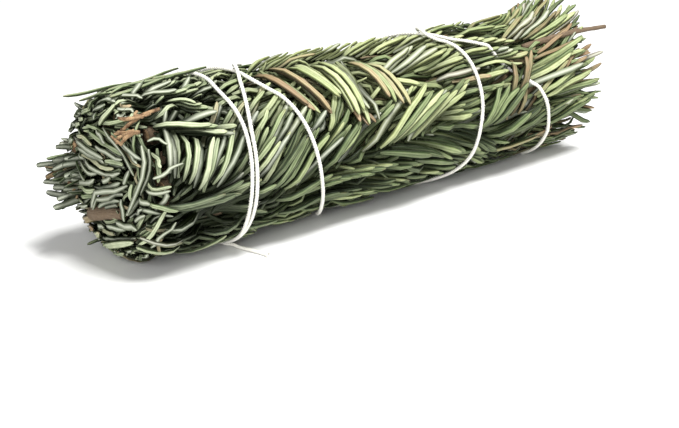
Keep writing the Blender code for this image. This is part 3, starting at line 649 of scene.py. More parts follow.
def leaf_meshes(leaves):
    """All the leaves of a piece at once."""
    centres, out, width, thick, roll, curl, light, dry, seed, deep = map(np.array, zip(*leaves))
    count, rings, sides = len(leaves), len(RINGS), len(SECTION)
    ahead = unit(np.gradient(centres, axis=1))
    normal = unit(out - ahead * (out * ahead).sum(-1, keepdims=True))
    across = np.cross(ahead, normal)
    turn = np.radians(roll + curl[:, None] * (RINGS - 0.5))[..., None]
    side = across * np.cos(turn) + normal * np.sin(turn)
    top = normal * np.cos(turn) - across * np.sin(turn)
    wavy = 1.0 + np.random.default_rng(count * 7 + 3).normal(0.0, 0.06, (count, rings))
    half = width[:, None] * RING_WIDTH * wavy * 0.5 * MM
    thick = thick[:, None] * RING_THICK * MM
    points = (centres[:, :, None] + side[:, :, None] * (half[..., None] * SECTION[:, 0])[..., None]
              + top[:, :, None] * (thick[..., None] * SECTION[:, 1])[..., None])
    faces = ring_quads(rings, sides) + (np.arange(count) * rings * sides)[:, None, None]
    columns = math.ceil(math.sqrt(count / 3.3))
    cell = np.stack([np.arange(count) % columns, np.arange(count) // columns], -1)
    size = np.array([1.0 / columns, 0.9 / math.ceil(count / columns)])
    uv = (cell[:, None, None] + 0.03 + 0.94 * ring_uv(sides, 0.03 + 0.94 * RINGS)) * size + [0.0, 0.1]
    length = np.linalg.norm(np.diff(centres, axis=1), axis=-1).sum(1) / MM
    spin = 2.0 * math.pi * np.arange(sides) / sides
    light, dry, seed = (values[:, None, None] for values in (light, dry, seed))
    s = points[..., 0] / MM
    # Painted shade for leaves that lie deep in the bundle, mostly taken off by the tips, where the inside
    # shows
    deep = deep[..., None] * (1.0 - 0.85 * smooth((s - 42.0) / 14.0))
    fresh = smooth((s + 50.0) / 36.0)
    grain = (RINGS[:, None] * length[:, None, None], 0.7 * np.sin(spin), 0.7 * np.cos(spin) + 5.0 * seed)
    shades = (light, dry, SECTION_FELT, SECTION_HIGHLIGHT, RINGS[:, None], deep, fresh)
    made = [np.broadcast_to(values, s.shape).ravel() for values in (*shades, *grain)]
    return dict(zip(SHADES, made), points=points.reshape(-1, 3), faces=faces.reshape(-1, 4), uv=uv,
                grain=np.stack(made[len(SHADES):], -1))


def twig_mesh(points, radii, seed, cut, bare, index, total):
    """One twig, uneven all along, with its cut ends in the cut wood's material."""
    rings, sides = len(points), 8 if bare else 10
    ripple = np.random.default_rng(1000 + seed).normal(0.0, 0.20 if bare else 0.07, (rings, sides))
    ripple = (ripple + np.roll(ripple, 1, 1) + np.roll(ripple, 1, 0)) / 1.7
    faces = ring_quads(rings, sides)
    spots = np.full(len(faces), CUT_WOOD if bare else BARK)
    cap = sides // 2 - 1
    if cut[0]:
        spots[-2 * cap:-cap] = CUT_WOOD
    if cut[1]:
        spots[-cap:] = CUT_WOOD
    length = run(points) / MM
    high = 0.09 / total
    uv = ring_uv(sides, 0.03 + 0.94 * length / length[-1])
    turn = np.tile(2.0 * math.pi * np.arange(sides) / sides, rings)
    reach = np.repeat(radii, sides)
    return dict(points=ring_points(points, radii[:, None] * (1.0 + ripple), TWIG_SPARE), faces=faces,
                uv=uv * [0.98, high * 0.94] + [0.01, high * (index + 0.03)], spots=spots,
                grain=np.stack([np.repeat(length, sides), np.cos(turn) * reach,
                                np.sin(turn) * reach + seed * 7.0], -1))


def course_path(bed, start, course, bow, length, limits=(-math.inf, math.inf)):
    """A leaf's path on a bed: it sets out from its root on a course, and bends as it goes."""
    turn = np.radians(course + bow * np.linspace(0.0, 1.0, PATH_STEPS))[:-1]
    step = length / (PATH_STEPS - 1)
    u = start[0] + np.append(0.0, np.cumsum(np.cos(turn) * step))
    v = start[1] + bed.up * np.append(0.0, np.cumsum(np.sin(turn) * step))
    return np.clip(u, *limits), v


def grow_leaf(sprig, bed, draw, path, width, root, light, dry, flip, lift, overhang=False):
    """Lays one leaf on a bed and adds it to a sprig."""
    u, v = path
    share = np.linspace(0.0, 1.0, len(u))
    knots = np.linspace(0.0, 1.0, 5)
    crooked = smooth_line(knots, np.array([0.0] + [draw.gauss(0.0, 0.16) for _ in knots[1:]]), share)
    ahead = unit(np.stack([np.gradient(u), np.gradient(v)], -1))
    u, v = u - ahead[:, 1] * crooked, v + ahead[:, 0] * crooked
    thick = width * draw.uniform(0.42, 0.52)
    height, lean = bed.lay(u, v, width, thick, root)
    height = height + lift * np.clip((share - 0.45) / 0.55, 0.0, 1.0) ** 2
    ru, rv, rh, slant = (np.interp(RINGS, share, values) for values in (u, v, height, lean))
    centres, out = bed.put(ru, rv, rh, True) if overhang else bed.put(ru, rv, rh)
    roll = np.degrees(np.arctan(slant)) * bed.leaning + draw.gauss(0.0, 5.0) + (180.0 if flip else 0.0)
    # Its depth under the leaves laid before it, the last value, sets how much painted shade it gets
    sprig.add_leaf(centres, out, width, thick, roll, draw.gauss(0.0, 10.0),
                   min(max(light + draw.gauss(0.0, 0.30), 0.0), 1.6), dry, draw.uniform(0.0, 100.0),
                   np.clip((-rh - 0.4) / 1.9, 0.0, 1.0))


def tangled(s, angle):
    """How far the leaves there lie short and criss-cross, by the cut end and on top: 0 to 1."""
    return float(smooth((-34.0 - s) / 8.0) * smooth((134.0 - angle) / 12.0) * smooth((angle - 55.0) / 20.0))


def row_leaves(rows, draw):
    """Each leaf of each row: root, course, bend, length, width, light, dry, pale."""
    for first, last, count, course0, course1, bow, length, width, light, dry, pale in rows:
        messy = tangled(*first)
        # Painted light and shade: rows on top lighter, rows from LOW_FROM on darker
        light *= TOP_LIGHT if first[1] < LOW_FROM else LOW_LIGHT
        light *= TIP_LIGHT if first[0] >= TIP_FROM else 1.0
        count = round(count * ROW_CROWD * (1.0 + 0.5 * messy))
        for i in range(count):
            share = (i + draw.uniform(-0.22, 0.22)) / max(count - 1, 1)
            root = (first[0] + (last[0] - first[0]) * share,
                    first[1] + (last[1] - first[1]) * share + draw.uniform(-1.5, 1.5))
            aged = dry > 0.0 and draw.random() < min(dry * 1.3, 1.0)
            yield dict(root=root, light=light,
                       course=course0 + (course1 - course0) * share + draw.gauss(0.0, 3.0 + 16.0 * messy),
                       bow=bow + draw.gauss(0.0, 5.0 + 9.0 * messy),
                       length=length * draw.uniform(0.88, 1.1) * (1.0 - 0.38 * messy),
                       width=ROW_WIDTH * min(width, WIDEST) * draw.uniform(0.88, 1.12),
                       dry=min(1.0, dry + draw.uniform(0.0, 0.35)) if aged else 0.0,
                       flip=draw.random() < pale)


def stem_angle(layer, number, s):
    """Angle of a sprig's stem. Numbers start at 1."""
    return layer["first"] + (number - 1) * 360.0 / layer["count"] + TWIST * s


def sprig_at(layer, s, angle):
    """Number of the sprig in whose sector a place lies, and how far it is from its stem."""
    pitch = 360.0 / layer["count"]
    turns = (angle - TWIST * s - layer["first"]) / pitch
    return round(turns) % layer["count"] + 1, (turns - round(turns)) * pitch


class Flow:
    """Which way the leaves lie: as the rows nearby, and elsewhere slanting away from their stem."""
    SPREAD = 5.5
    AWAY = 30.0
    OWN = 0.25              # weight of that slant, of a light of 0.5 and of a little dryness

    def __init__(self, leaves):
        self.turns = np.radians([p["course"] for p in leaves])
        s, angle = np.transpose([p["root"] for p in leaves])
        middle = 0.4 * np.array([p["length"] for p in leaves])
        self.s = s + middle * np.cos(self.turns)
        self.v = np.radians(angle) * UNROLLED - middle * np.sin(self.turns)
        self.light = np.array([p["light"] for p in leaves])
        self.dry = np.array([p["dry"] for p in leaves])

    def at(self, layer, s, angle):
        """Course, lightness and dryness for a leaf rooted there, and its sprig's number."""
        number, off = sprig_at(layer, s, angle)
        across = (self.v - math.radians(angle) * UNROLLED + 0.5 * ROUND) % ROUND - 0.5 * ROUND
        near = np.exp(-((self.s - s) ** 2 + across ** 2) / (2.0 * self.SPREAD ** 2))
        away = math.radians(-self.AWAY * math.tanh(off / 7.0))
        x = near @ np.cos(self.turns) + self.OWN * math.cos(away)
        y = near @ np.sin(self.turns) + self.OWN * math.sin(away)
        total = near.sum() + self.OWN
        return (math.degrees(math.atan2(y, x)), (near @ self.light + self.OWN * 0.5) / total,
                (near @ self.dry + self.OWN * 0.06) / total, number)


def new_sprigs(layer):
    """A layer's sprigs by number, each with its main stem."""
    sprigs = {number: Sprig() for number in range(1, layer["count"] + 1)}
    for number, sprig in sprigs.items():
        start = layer["stubs"].get(number, layer["start"] + 1.0)
        s = np.arange(start, layer["end"], 1.6)
        inside = np.maximum(s, layer["start"])
        angle = stem_angle(layer, number, inside)
        wander = np.stack([np.zeros_like(s), 0.2 * np.sin(s * 0.23 + number),
                           0.15 * np.cos(s * 0.31 + number)], -1)
        radii = STEM_CUT_RADIUS + (STEM_TIP_RADIUS - STEM_CUT_RADIUS) * (s - start) / (layer["end"] - start)
        sprig.add_twig(place(s, angle, surface(inside, angle) - layer["depth"]) + wander * MM, radii,
                       number + layer["count"] * 10)
    return sprigs


def twig_along(sprig, bed, route, radius, depth, seed, steps=30):
    """A thin twig that lies on a bed, through a few (u, v) points and at a few depths."""
    (u, v), share = line_through(route, steps)
    points, _ = bed.put(u, v, -np.interp(share, np.linspace(0.0, 1.0, len(depth)), depth))
    sprig.add_twig(points, np.linspace(*radius, steps), seed, (False, True))


def hand_over(piece, node):
    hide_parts(node)
    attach(piece, "root")
    return piece


def grow_row_leaf(sprigs, bed, draw, plan, length, width, limits, lift, overhang=False):
    """One leaf of a row, on the outer sprig that it belongs to."""
    s, angle = plan["root"]
    path = course_path(bed, (s, math.radians(angle) * UNROLLED), plan["course"], plan["bow"], length, limits)
    grow_leaf(sprigs[sprig_at(OUTER, s, angle)[0]], bed, draw, path, width, draw.uniform(1.2, 2.2),
              plan["light"], plan["dry"], plan["flip"], draw.uniform(0.0, lift), overhang)


def grow_outer(leaf):
    """The outer layer: first the rows that show most, then leaves all over until the layer is full."""
    draw = random.Random("outer")
    bed = SideBed(0.0, True)
    sprigs = new_sprigs(OUTER)
    rows = list(row_leaves(SIDE_ROWS, draw))
    for plan in rows:
        length = plan["length"] * leaf.length / USUAL_LENGTH
        length = min(length, (TIP_REACH - 1.0 - plan["root"][0]) * 1.02)
        grow_row_leaf(sprigs, bed, draw, plan, length, plan["width"] * leaf.width / USUAL_WIDTH,
                      (CUT_REACH - 0.5, TIP_REACH), 0.5)
    for plan in row_leaves(BACK_ROWS, draw):
        overhang = plan["root"][1] > 290.0 and draw.random() < 0.15
        grow_row_leaf(sprigs, bed, draw, plan, plan["length"], plan["width"],
                      (-TIP_REACH if overhang else CUT_REACH, 0.0), 0.6, overhang)
    for first, last, angle, low, high, width in STRAYS:
        angles = angle + 2.5 * np.sin(3.4 * RINGS + first)
        radii = low + (high - low) * RINGS + 0.25 * np.sin(5.0 * RINGS + last)
        sprigs[sprig_at(OUTER, first, angle)[0]].add_leaf(
            place(first + (last - first) * RINGS, angles, radii), outward(angles),
            width, 0.7, 0.0, 20.0, 0.3, 0.15, first, 0.0)
    fill_layer(sprigs, OUTER, bed, Flow(rows), draw, leaf, 1.9, 4.2)
    twig_along(sprigs[sprig_at(OUTER, 60.0, 129.0)[0]], bed,
               [(50, 39.3), (60, 40.2), (67, 40.9), (73.4, 41.6)], (0.85, 0.5), (3.2, 0.8, 0.6, 1.2), 32)
    return sprigs


def fill_layer(sprigs, layer, bed, flow, draw, leaf, spacing, deepest):
    """Leaves from roots spread evenly over a layer, as long as there is room for them."""
    steps_s = int((57.0 - layer["start"]) / spacing)
    steps_v = int(ROUND / spacing)
    roots = [(layer["start"] - 1.0 + (i + draw.random()) * spacing, (j + draw.random()) * ROUND / steps_v)
             for i in range(steps_s + 1) for j in range(steps_v)]
    draw.shuffle(roots)
    for s, v in roots:
        angle = math.degrees(v / UNROLLED)
        course, light, dry, number = flow.at(layer, s, angle)
        messy = tangled(s, angle)
        course += draw.gauss(0.0, 34.0 if draw.random() < 0.1 + 0.5 * messy else 9.0)
        length = leaf.length * min(max(draw.gauss(0.97, 0.15), 0.6), 1.3) * (1.0 - 0.4 * messy)
        length = min(length, (TIP_REACH - draw.uniform(0.5, 7.0) - s) * 1.05)
        if length < 5.0:
            continue
        width = leaf.width * draw.uniform(0.82, 1.15)
        path = course_path(bed, (s, v), course, draw.gauss(0.0, 10.0), length, (CUT_REACH, TIP_REACH))
        if bed.room[bed.squares(*path)].mean() < -deepest:
            continue
        near_tips = float(smooth((s - 26.0) / 20.0))
        light *= 1.0 - 0.55 * near_tips
        old = draw.random() < dry + 0.28 * near_tips
        grow_leaf(sprigs[number], bed, draw, path, width, draw.uniform(1.8, 3.4), light,
                  draw.uniform(0.5, 1.0) if old else 0.0, draw.random() < 0.10, draw.uniform(-0.1, 0.35))


def grow_under(leaf):
    draw = random.Random("under")
    sprigs = new_sprigs(UNDER)
    flow = Flow(list(row_leaves(SIDE_ROWS, draw)))
    fill_layer(sprigs, UNDER, SideBed(4.4, False), flow, draw, leaf, 3.4, 7.0)
    return sprigs


def grow_inner(leaf):
    """The inner layer only shows at the two ends, so most of its leaves grow there."""
    draw = random.Random("inner")
    sprigs = new_sprigs(INNER)
    for number, sprig in sprigs.items():
        for s in np.arange(INNER["start"], INNER["end"], 1.5):
            if -40.0 < s < 30.0 and draw.random() < 0.6:
                continue
            off = draw.uniform(-26.0, 26.0)
            length = leaf.length * draw.uniform(0.8, 1.1)
            length = min(length, TIP_REACH - 2.0 - s - draw.uniform(0.0, 4.0))
            radius = body_radius(s) - draw.uniform(8.0, 12.5) - 1.5
            rise = 1.5 + draw.uniform(-1.0, 2.2)
            angles = stem_angle(INNER, number, s) + off + (off * 0.6 + draw.gauss(0.0, 6.0)) * RINGS
            sprig.add_leaf(place(s + length * RINGS, angles, radius + rise * smooth(RINGS * 1.4)),
                           outward(angles), leaf.width * draw.uniform(0.85, 1.1),
                           0.45 * leaf.width, draw.gauss(0.0, 30.0), draw.gauss(0.0, 16.0),
                           draw.uniform(0.2, 0.7) + (0.4 if s > 30.0 else 0.0),
                           draw.uniform(0.4, 1.0) if draw.random() < 0.2 else 0.0,
                           draw.uniform(0.0, 100.0))
    return sprigs


def grow_heart(leaf):
    draw = random.Random("heart")
    sprig = Sprig()
    start, end = INNER["start"], INNER["end"]
    s = np.arange(start, end, 1.8)
    sprig.add_twig(place(s, np.zeros_like(s), 0.3 * np.sin(s * 0.2)),
                   np.linspace(STEM_CUT_RADIUS, STEM_TIP_RADIUS, len(s)), 77)
    for i in range(HEART_LEAVES):
        root = start + 1.0 + (end - start) * (i + 0.5) / HEART_LEAVES
        angles = HEART_TURN * i + 0.0 * RINGS
        length = leaf.length * 0.85 * draw.uniform(0.85, 1.1)
        spread = draw.uniform(2.5, 5.5) - 0.4
        sprig.add_leaf(place(root + length * RINGS, angles, 0.4 + spread * smooth(RINGS * 1.3)),
                       outward(angles), leaf.width * draw.uniform(0.85, 1.1), 0.45 * leaf.width,
                       draw.gauss(0.0, 20.0), 0.0, draw.uniform(0.2, 0.7) + (0.4 if root > 30.0 else 0.0),
                       0.0, draw.uniform(0.0, 100.0))
    return sprig


def grow_curled(leaf):
    """The sprig folded over the cut end: its leaves lie on the dome, in swirls."""
    draw = random.Random("curled")
    bed = FaceBed()
    sprig = Sprig()
    for kind, width, route in FACE_LEAVES:
        path, _ = line_through(route, PATH_STEPS)
        grow_leaf(sprig, bed, draw, path, 0.86 * width, 0.5, *KINDS[kind], draw.uniform(0.0, 0.5))
    spots = np.array([spot for spot, _ in FACE_FLOW], float)
    turns = np.radians([turn for _, turn in FACE_FLOW])
    for _ in range(FACE_TRIES):
        rho = 18.2 * math.sqrt(draw.random())
        turn = draw.uniform(0.0, 2.0 * math.pi)
        x, y = rho * math.cos(turn), rho * math.sin(turn)
        near = np.exp(-((spots[:, 0] - x) ** 2 + (spots[:, 1] - y) ** 2) / 18.0) + 1e-6
        course = math.degrees(math.atan2((near * np.sin(turns)).sum(), (near * np.cos(turns)).sum()))
        course += draw.gauss(0.0, 11.0) + (180.0 if draw.random() < 0.5 else 0.0)
        path = course_path(bed, (x, y), course, draw.gauss(0.0, 24.0), leaf.length * draw.uniform(0.45, 0.9))
        if np.hypot(*path).max() > FACE_REACH:
            continue
        room = bed.room[bed.squares(*path)]
        if room.mean() < -5.6 or np.ptp(room) > 2.4:
            continue
        grow_leaf(sprig, bed, draw, path, leaf.width * draw.uniform(0.65, 1.0), draw.uniform(0.6, 2.0),
                  1.15 * draw.random() ** 1.4, draw.uniform(0.5, 1.0) if draw.random() < 0.14 else 0.0,
                  draw.random() < 0.2, draw.uniform(0.0, 0.3))
    twig_along(sprig, bed, [(6.6, -5.6), (1.4, -6.6), (-4.4, -8.2)], (1.2, 1.5), (1.7, 1.1, 0.7), 41, 14)
    torn_bark(sprig, bed, draw, (9.0, 11.6), (1.9, 0.8), 11)
    torn_bark(sprig, bed, draw, (9.6, 14.0), (1.3, 1.2), 4)
    torn_bark(sprig, bed, draw, (-12.4, -3.4), (1.2, 1.2), 4)
    tuft(sprig, draw)
    return sprig


def torn_bark(sprig, bed, draw, middle, size, count):
    """A bare, splintered stretch of stem, as short and crooked splinters."""
    t = np.linspace(-1.0, 1.0, 9)
    for i in range(count):
        course = math.radians(draw.choice((6.0, 10.0, 62.0)) + draw.gauss(0.0, 13.0))
        half = draw.uniform(0.8, 1.8)
        u = middle[0] + draw.uniform(-size[0], size[0]) + half * t * math.cos(course)
        v = middle[1] + draw.uniform(-size[1], size[1]) + half * t * math.sin(course)
        v = v + draw.gauss(0.0, 0.4) * t * t
        points, _ = bed.put(u, v, draw.uniform(-0.3, 0.7) + 0.3 * (1.0 - t * t))
        radii = draw.uniform(0.24, 0.46) * (0.7 + 0.3 * np.cos(1.3 * t))
        sprig.add_twig(points, radii, 50 + i, bare=True)


def tuft(sprig, draw):
    """The leaf ends that stick out past the cut end, at the back."""
    for _ in range(TUFT_LEAVES):
        angle = draw.choice((draw.gauss(363.0, 6.0), draw.gauss(337.0, 6.0)))
        s = draw.uniform(-60.0, -55.0)
        radius = draw.uniform(9.0, 15.5)
        length = min(draw.uniform(6.0, 10.0), s + 69.4 - 2.5 * draw.random())
        spread, rise, bend = draw.gauss(0.0, 6.0), draw.gauss(1.0, 4.0), draw.gauss(0.0, 6.0)
        angles = angle + spread * BLUNT + bend * BLUNT ** 2
        centres = place(s - length * BLUNT, angles, np.minimum(radius + rise * BLUNT * 0.4, 17.6))
        tipped = outward(angles) + [0.0, draw.gauss(0.0, 0.5), draw.gauss(0.3, 0.4)]
        # Their leaves are dark, partly as painted shade, for they stand back past the cut end; a little
        # depth shade is painted on too
        sprig.add_leaf(centres, unit(tipped), draw.uniform(1.2, 1.9), draw.uniform(0.5, 0.7),
                       draw.gauss(0.0, 30.0), draw.gauss(0.0, 18.0), draw.uniform(0.0, 0.35),
                       draw.uniform(0.5, 1.0) if draw.random() < 0.16 else 0.0,
                       draw.uniform(0.0, 100.0), 0.15)


def string_point(angle):
    """Centre line of the wound string: pressed into the leaves, and lifted where it crosses itself."""
    s = route_at(angle)
    radius = float(surface(s, angle)) - STRING_DEPTH
    for crossing in CROSSINGS:
        near = abs(angle - crossing) / CROSSING_SPREAD
        if near < 1.0:
            radius += CROSSING_LIFT * 0.5 * (1.0 + math.cos(math.pi * near))
    if HIDDEN[0] < angle < HIDDEN[1]:
        share = (angle - HIDDEN[0]) / (HIDDEN[1] - HIDDEN[0])
        radius -= HIDDEN_DEPTH * math.sin(math.pi * share) ** 0.8
    return place(s, angle, radius)


def twist_string(points, cotton, seed, fray):
    """Thin plies twisted round a line: their centres and radii. Fray spreads them at its end."""
    length = run(points) / MM
    normals, across = carried(points, STRING_SPARE)
    rng = np.random.default_rng(seed)
    knots = np.arange(0, length[-1] + 3, 2.5)
    ply = STRING_RADIUS * 0.56
    reach = STRING_RADIUS - ply + fray * smooth((length - length[-1] + 2.5) / 2.5) ** 2
    strands = []
    for k in range(cotton.plies):
        turn = 2.0 * math.pi * (length / cotton.lay + k / cotton.plies)
        uneven = 1.0 + 0.06 * np.interp(length, knots, rng.normal(0, 1, len(knots)))
        centres = points + (normals * (np.cos(turn) * reach)[:, None]
                            + across * (np.sin(turn) * reach)[:, None]) * MM
        strands.append((centres, ply * uneven))
    return strands, normals, across, length


def knot_line(centre, out):
    """A small overhand knot round a point."""
    turn = np.linspace(0.0, 2.0 * math.pi, 90)
    ahead = np.array([1.0, 0.0, 0.0])
    a = np.sin(turn) + 2.0 * np.sin(2.0 * turn)
    b = np.cos(turn) - 2.0 * np.cos(2.0 * turn)
    c = -np.sin(3.0 * turn)
    return centre + np.stack([a, b, c], -1) * KNOT_SCALE @ np.stack([np.cross(ahead, out), ahead, out]) * MM


def fibres_off(line, normals, across, count, rng):
    """Short loose fibres that stand off a line."""
    u = np.linspace(0.0, 1.0, FIBRE_RINGS)[:, None]
    for _ in range(count):
        i = rng.integers(1, len(line) - 2)
        turn = rng.uniform(0.0, 2.0 * math.pi)
        away = normals[i] * math.cos(turn) + across[i] * math.sin(turn)
        ahead = unit(line[i + 1] - line[i]) * rng.choice([-1.0, 1.0])
        size = rng.uniform(0.5, 1.5)
        bend = rng.uniform(-0.5, 0.5)
        yield line[i] + (away * (0.36 + size * 0.35 * u) + ahead * size * (u - 0.3 * u ** 2)
                         + np.cross(away, ahead) * bend * size * u ** 2) * MM


def strip_uv(length, strip, row):
    """UV corners of one ply, folded into strips from a row on, and the row after them."""
    laps = np.floor(length / strip).astype(int)
    uv = []
    for start, end, lap in zip(length[:-1], length[1:], laps):
        a, b = start / strip - lap, end / strip - lap
        for k in range(PLY_SIDES):
            low, high = row + lap + (k + 0.5) / 7.0, row + lap + (k + 1.5) / 7.0
            uv.append([(a, low), (a, high), (b, high), (b, low)])
    for end in (0.0, 0.97):
        for k in (1, 2):
            low, high = row + 0.2 * k, row + 0.2 * k + 0.1
            uv.append([(end, low), (end + 0.02, low), (end + 0.02, high), (end, high)])
    return np.array(uv) * [0.97, 0.86 / STRIPS] + [0.01, 0.13], row + laps[-1] + 1


def wind_string(cotton, material):
    """The wound string with its knot and tail, and the short fibres that stand off it."""
    knot_s, knot_angle = KNOT_PLACE
    base = place(knot_s, knot_angle, float(surface(knot_s, knot_angle)) - KNOT_DEPTH)
    tail = [base] + [base + np.array(step) * MM for step in TAIL_START]
    tail += [(base[0] + ahead * MM, base[1] + aside * MM, TAIL_HEIGHT * MM) for ahead, aside in TAIL_RUN]
    knots = np.arange(len(tail), dtype=float)
    t = np.linspace(0.0, knots[-1], 70)
    tail = np.stack([smooth_line(knots, column, t) for column in np.transpose(tail)], -1)
    wound = np.array([string_point(a) for a in string_angles(0.85)])
    rng = np.random.default_rng(11)
    plies, fibres = [], []
    knot = knot_line(base, outward(knot_angle))
    for line, fray, seed in ((wound, 0.0, 5), (knot, 0.0, 6), (tail, 0.35, 7)):
        strands, normals, across, length = twist_string(line, cotton, seed, fray)
        plies += [(*strand, length, 3.0 * k + seed) for k, strand in enumerate(strands)]
        fibres += fibres_off(line, normals, across, int(length[-1] * cotton.fuzz), rng)
    parts = []
    row = 0
    strip = sum(length[-1] for _, _, length, _ in plies) / (STRIPS - len(plies) - 2)
    for centres, radius, length, seed in plies:
        points = ring_points(centres, np.repeat(radius[:, None], PLY_SIDES, 1), STRING_SPARE)
        uv, row = strip_uv(length, strip, row)
        around = np.tile(np.arange(PLY_SIDES) / PLY_SIDES, len(length))
        grain = np.stack([np.repeat(length, PLY_SIDES), around, np.full(len(points), seed)], -1)
        parts.append(dict(points=points, faces=ring_quads(len(length), PLY_SIDES), uv=uv, grain=grain))
    columns = max(1, math.ceil(math.sqrt(len(fibres))))
    reach = np.repeat(np.linspace(0.022, 0.008, FIBRE_RINGS)[:, None], 4, 1)
    fibre_uv = 0.1 + 0.8 * ring_uv(4, np.linspace(0.05, 0.95, FIBRE_RINGS))
    for i, fibre in enumerate(fibres):
        points = ring_points(fibre, reach, STRING_SPARE)
        uv = ([i % columns, i // columns] + fibre_uv) / columns * [1.0, 0.12]
        parts.append(dict(points=points, faces=ring_quads(FIBRE_RINGS, 4), uv=uv,
                          grain=np.full(points.shape, 0.3)))
    return make_mesh("wound_cotton_string", parts, [material])


def feed(socket, value):
    """Links a socket, or sets its number or colour."""
    if isinstance(value, bpy.types.NodeSocket):
        socket.id_data.links.new(value, socket)
    else:
        socket.default_value = value if isinstance(value, (int, float)) else (*value[:3], 1.0)


def calc(operation, first, second, clamp=False):
    """Works on two values, of which one or both are sockets."""
    tree = (first if isinstance(first, bpy.types.NodeSocket) else second).id_data
    made = tree.nodes.new("ShaderNodeMath")
    made.operation, made.use_clamp = operation, clamp
    feed(made.inputs[0], first)
    feed(made.inputs[1], second)
    return made.outputs[0]


def times(first, second, clamp=False):
    return calc("MULTIPLY", first, second, clamp)


def plus(first, second, clamp=False):
    return calc("ADD", first, second, clamp)


def less(first, second):
    return calc("SUBTRACT", first, second)


def mix(share, first, second):
    """A colour between two others. The share is a socket."""
    made = share.id_data.nodes.new("ShaderNodeMix")
    made.data_type = "RGBA"
    for spot, value in ((0, share), (6, first), (7, second)):
        feed(made.inputs[spot], value)
    return made.outputs[2]


def attribute(tree, name, output="Fac"):
    made = tree.nodes.new("ShaderNodeAttribute")
    made.attribute_name = name
    return made.outputs[output]


def streaks_group():
    """Fibres and wrinkles that run along a leaf, a twig or a thread."""
    group = bpy.data.node_groups.new("Streaks", "ShaderNodeTree")
    for name, default in (("Along", 0.5), ("Across", 3.0), ("Detail", 3.0)):
        socket = group.interface.new_socket(name=name, in_out="INPUT", socket_type="NodeSocketFloat")
        socket.default_value = default
    for name in ("Streaks", "Mottle", "Wrinkles"):
        group.interface.new_socket(name=name, in_out="OUTPUT", socket_type="NodeSocketFloat")
    given = group.nodes.new("NodeGroupInput").outputs
    made = group.nodes.new("NodeGroupOutput").inputs
    grain = attribute(group, "grain", "Vector")
    stretch = group.nodes.new("ShaderNodeCombineXYZ")
    for socket, name in zip(stretch.inputs, ("Along", "Across", "Across")):
        feed(socket, given[name])
    scaled = group.nodes.new("ShaderNodeVectorMath")
    scaled.operation = "MULTIPLY"
    feed(scaled.inputs[0], grain)
    feed(scaled.inputs[1], stretch.outputs[0])
    for name, scale, source in (("Streaks", 1.0, scaled.outputs[0]), ("Mottle", 0.55, grain),
                                ("Wrinkles", 4.5, grain)):
        texture = group.nodes.new("ShaderNodeTexNoise")
        feed(texture.inputs["Scale"], scale)
        feed(texture.inputs["Detail"], given["Detail"])
        feed(texture.inputs["Vector"], source)
        feed(made[name], texture.outputs["Fac"])
    return group


def new_material(name):
    material = bpy.data.materials.new(name)
    material.use_nodes = True
    return material.node_tree, material.node_tree.nodes["Principled BSDF"].inputs


def streaked_material(name, along, across, detail):
    """A new material with the streaks placed in it: its nodes, its shader's sockets and the streaks."""
    tree, shader = new_material(name)
    streaks = tree.nodes.new("ShaderNodeGroup")
    streaks.node_tree = bpy.data.node_groups.get("Streaks") or streaks_group()
    for key, value in (("Along", along), ("Across", across), ("Detail", detail)):
        feed(streaks.inputs[key], value)
    return tree, shader, streaks.outputs


def finish(shader, colour, rough, height, strength, distance):
    """Feeds a shader's colour and roughness, and its bumps."""
    feed(shader["Base Color"], colour)
    feed(shader["Roughness"], rough)
    bump = height.id_data.nodes.new("ShaderNodeBump")
    for key, value in (("Strength", strength), ("Distance", distance), ("Height", height)):
        feed(bump.inputs[key], value)
    feed(shader["Normal"], bump.outputs[0])


def leaf_material(leaf):
    """Waxy green above with a painted highlight along the crests, pale felt underneath, and brown where it
    has dried; rolled edges and leaves deep in the bundle get painted shade.
    """
    tree, shader, out = streaked_material("rosemary leaf", 0.35, 2.6, 3.0)
    light, dry, felt, crest_highlight, along, deep, fresh = (attribute(tree, key) for key in SHADES)
    green = mix(times(light, 2.2, True), leaf.deep, leaf.green)
    green = mix(times(less(light, 0.4), 1.5, True), green, mix(fresh, leaf.worn, leaf.pale))
    # Painted highlight along the crests, broken by the streaks, stronger on lighter leaves and stronger at
    # the cut end than away from it
    highlight_gain = less(0.90, times(fresh, 0.29))
    lit = times(calc("POWER", crest_highlight, 1.8), times(plus(out["Streaks"], light), highlight_gain), True)
    green = mix(lit, green, mix(fresh, leaf.worn_crest_highlight, leaf.crest_highlight))
    green = mix(times(less(1.0, out["Mottle"]), 0.5), green, leaf.deep)
    tipped = times(less(along, 0.86), 3.5, True)
    aged = plus(times(dry, 1.25), times(tipped, 0.4))
    aged = plus(aged, times(less(out["Mottle"], 0.62), 1.2), True)
    # Dried leaves keep the painted highlight on their crests, in the straw colour
    coloured = mix(aged, green, mix(times(lit, 0.8), leaf.brown, leaf.straw_highlight))
    coloured = mix(times(felt, 0.85), coloured, leaf.felt)
    # Painted shade: rolled edges, which are neither crest nor felt, and leaves deep under others turn
    # towards the shadow colour, a little less away from the cut end
    edge_shade = less(1.0, plus(times(crest_highlight, 1.6), felt, True))
    shadow = plus(times(edge_shade, 0.97), times(deep, 0.93), True)
    shadow = times(shadow, less(1.0, times(fresh, 0.22)))
    rough = plus(plus(times(out["Streaks"], 0.25), 0.34), times(felt, 0.35), True)
    finish(shader, mix(shadow, coloured, leaf.shadow), rough,
           plus(out["Wrinkles"], times(out["Streaks"], 1.4)), 0.55, 0.00012)
    shader["Specular IOR Level"].default_value = 0.2


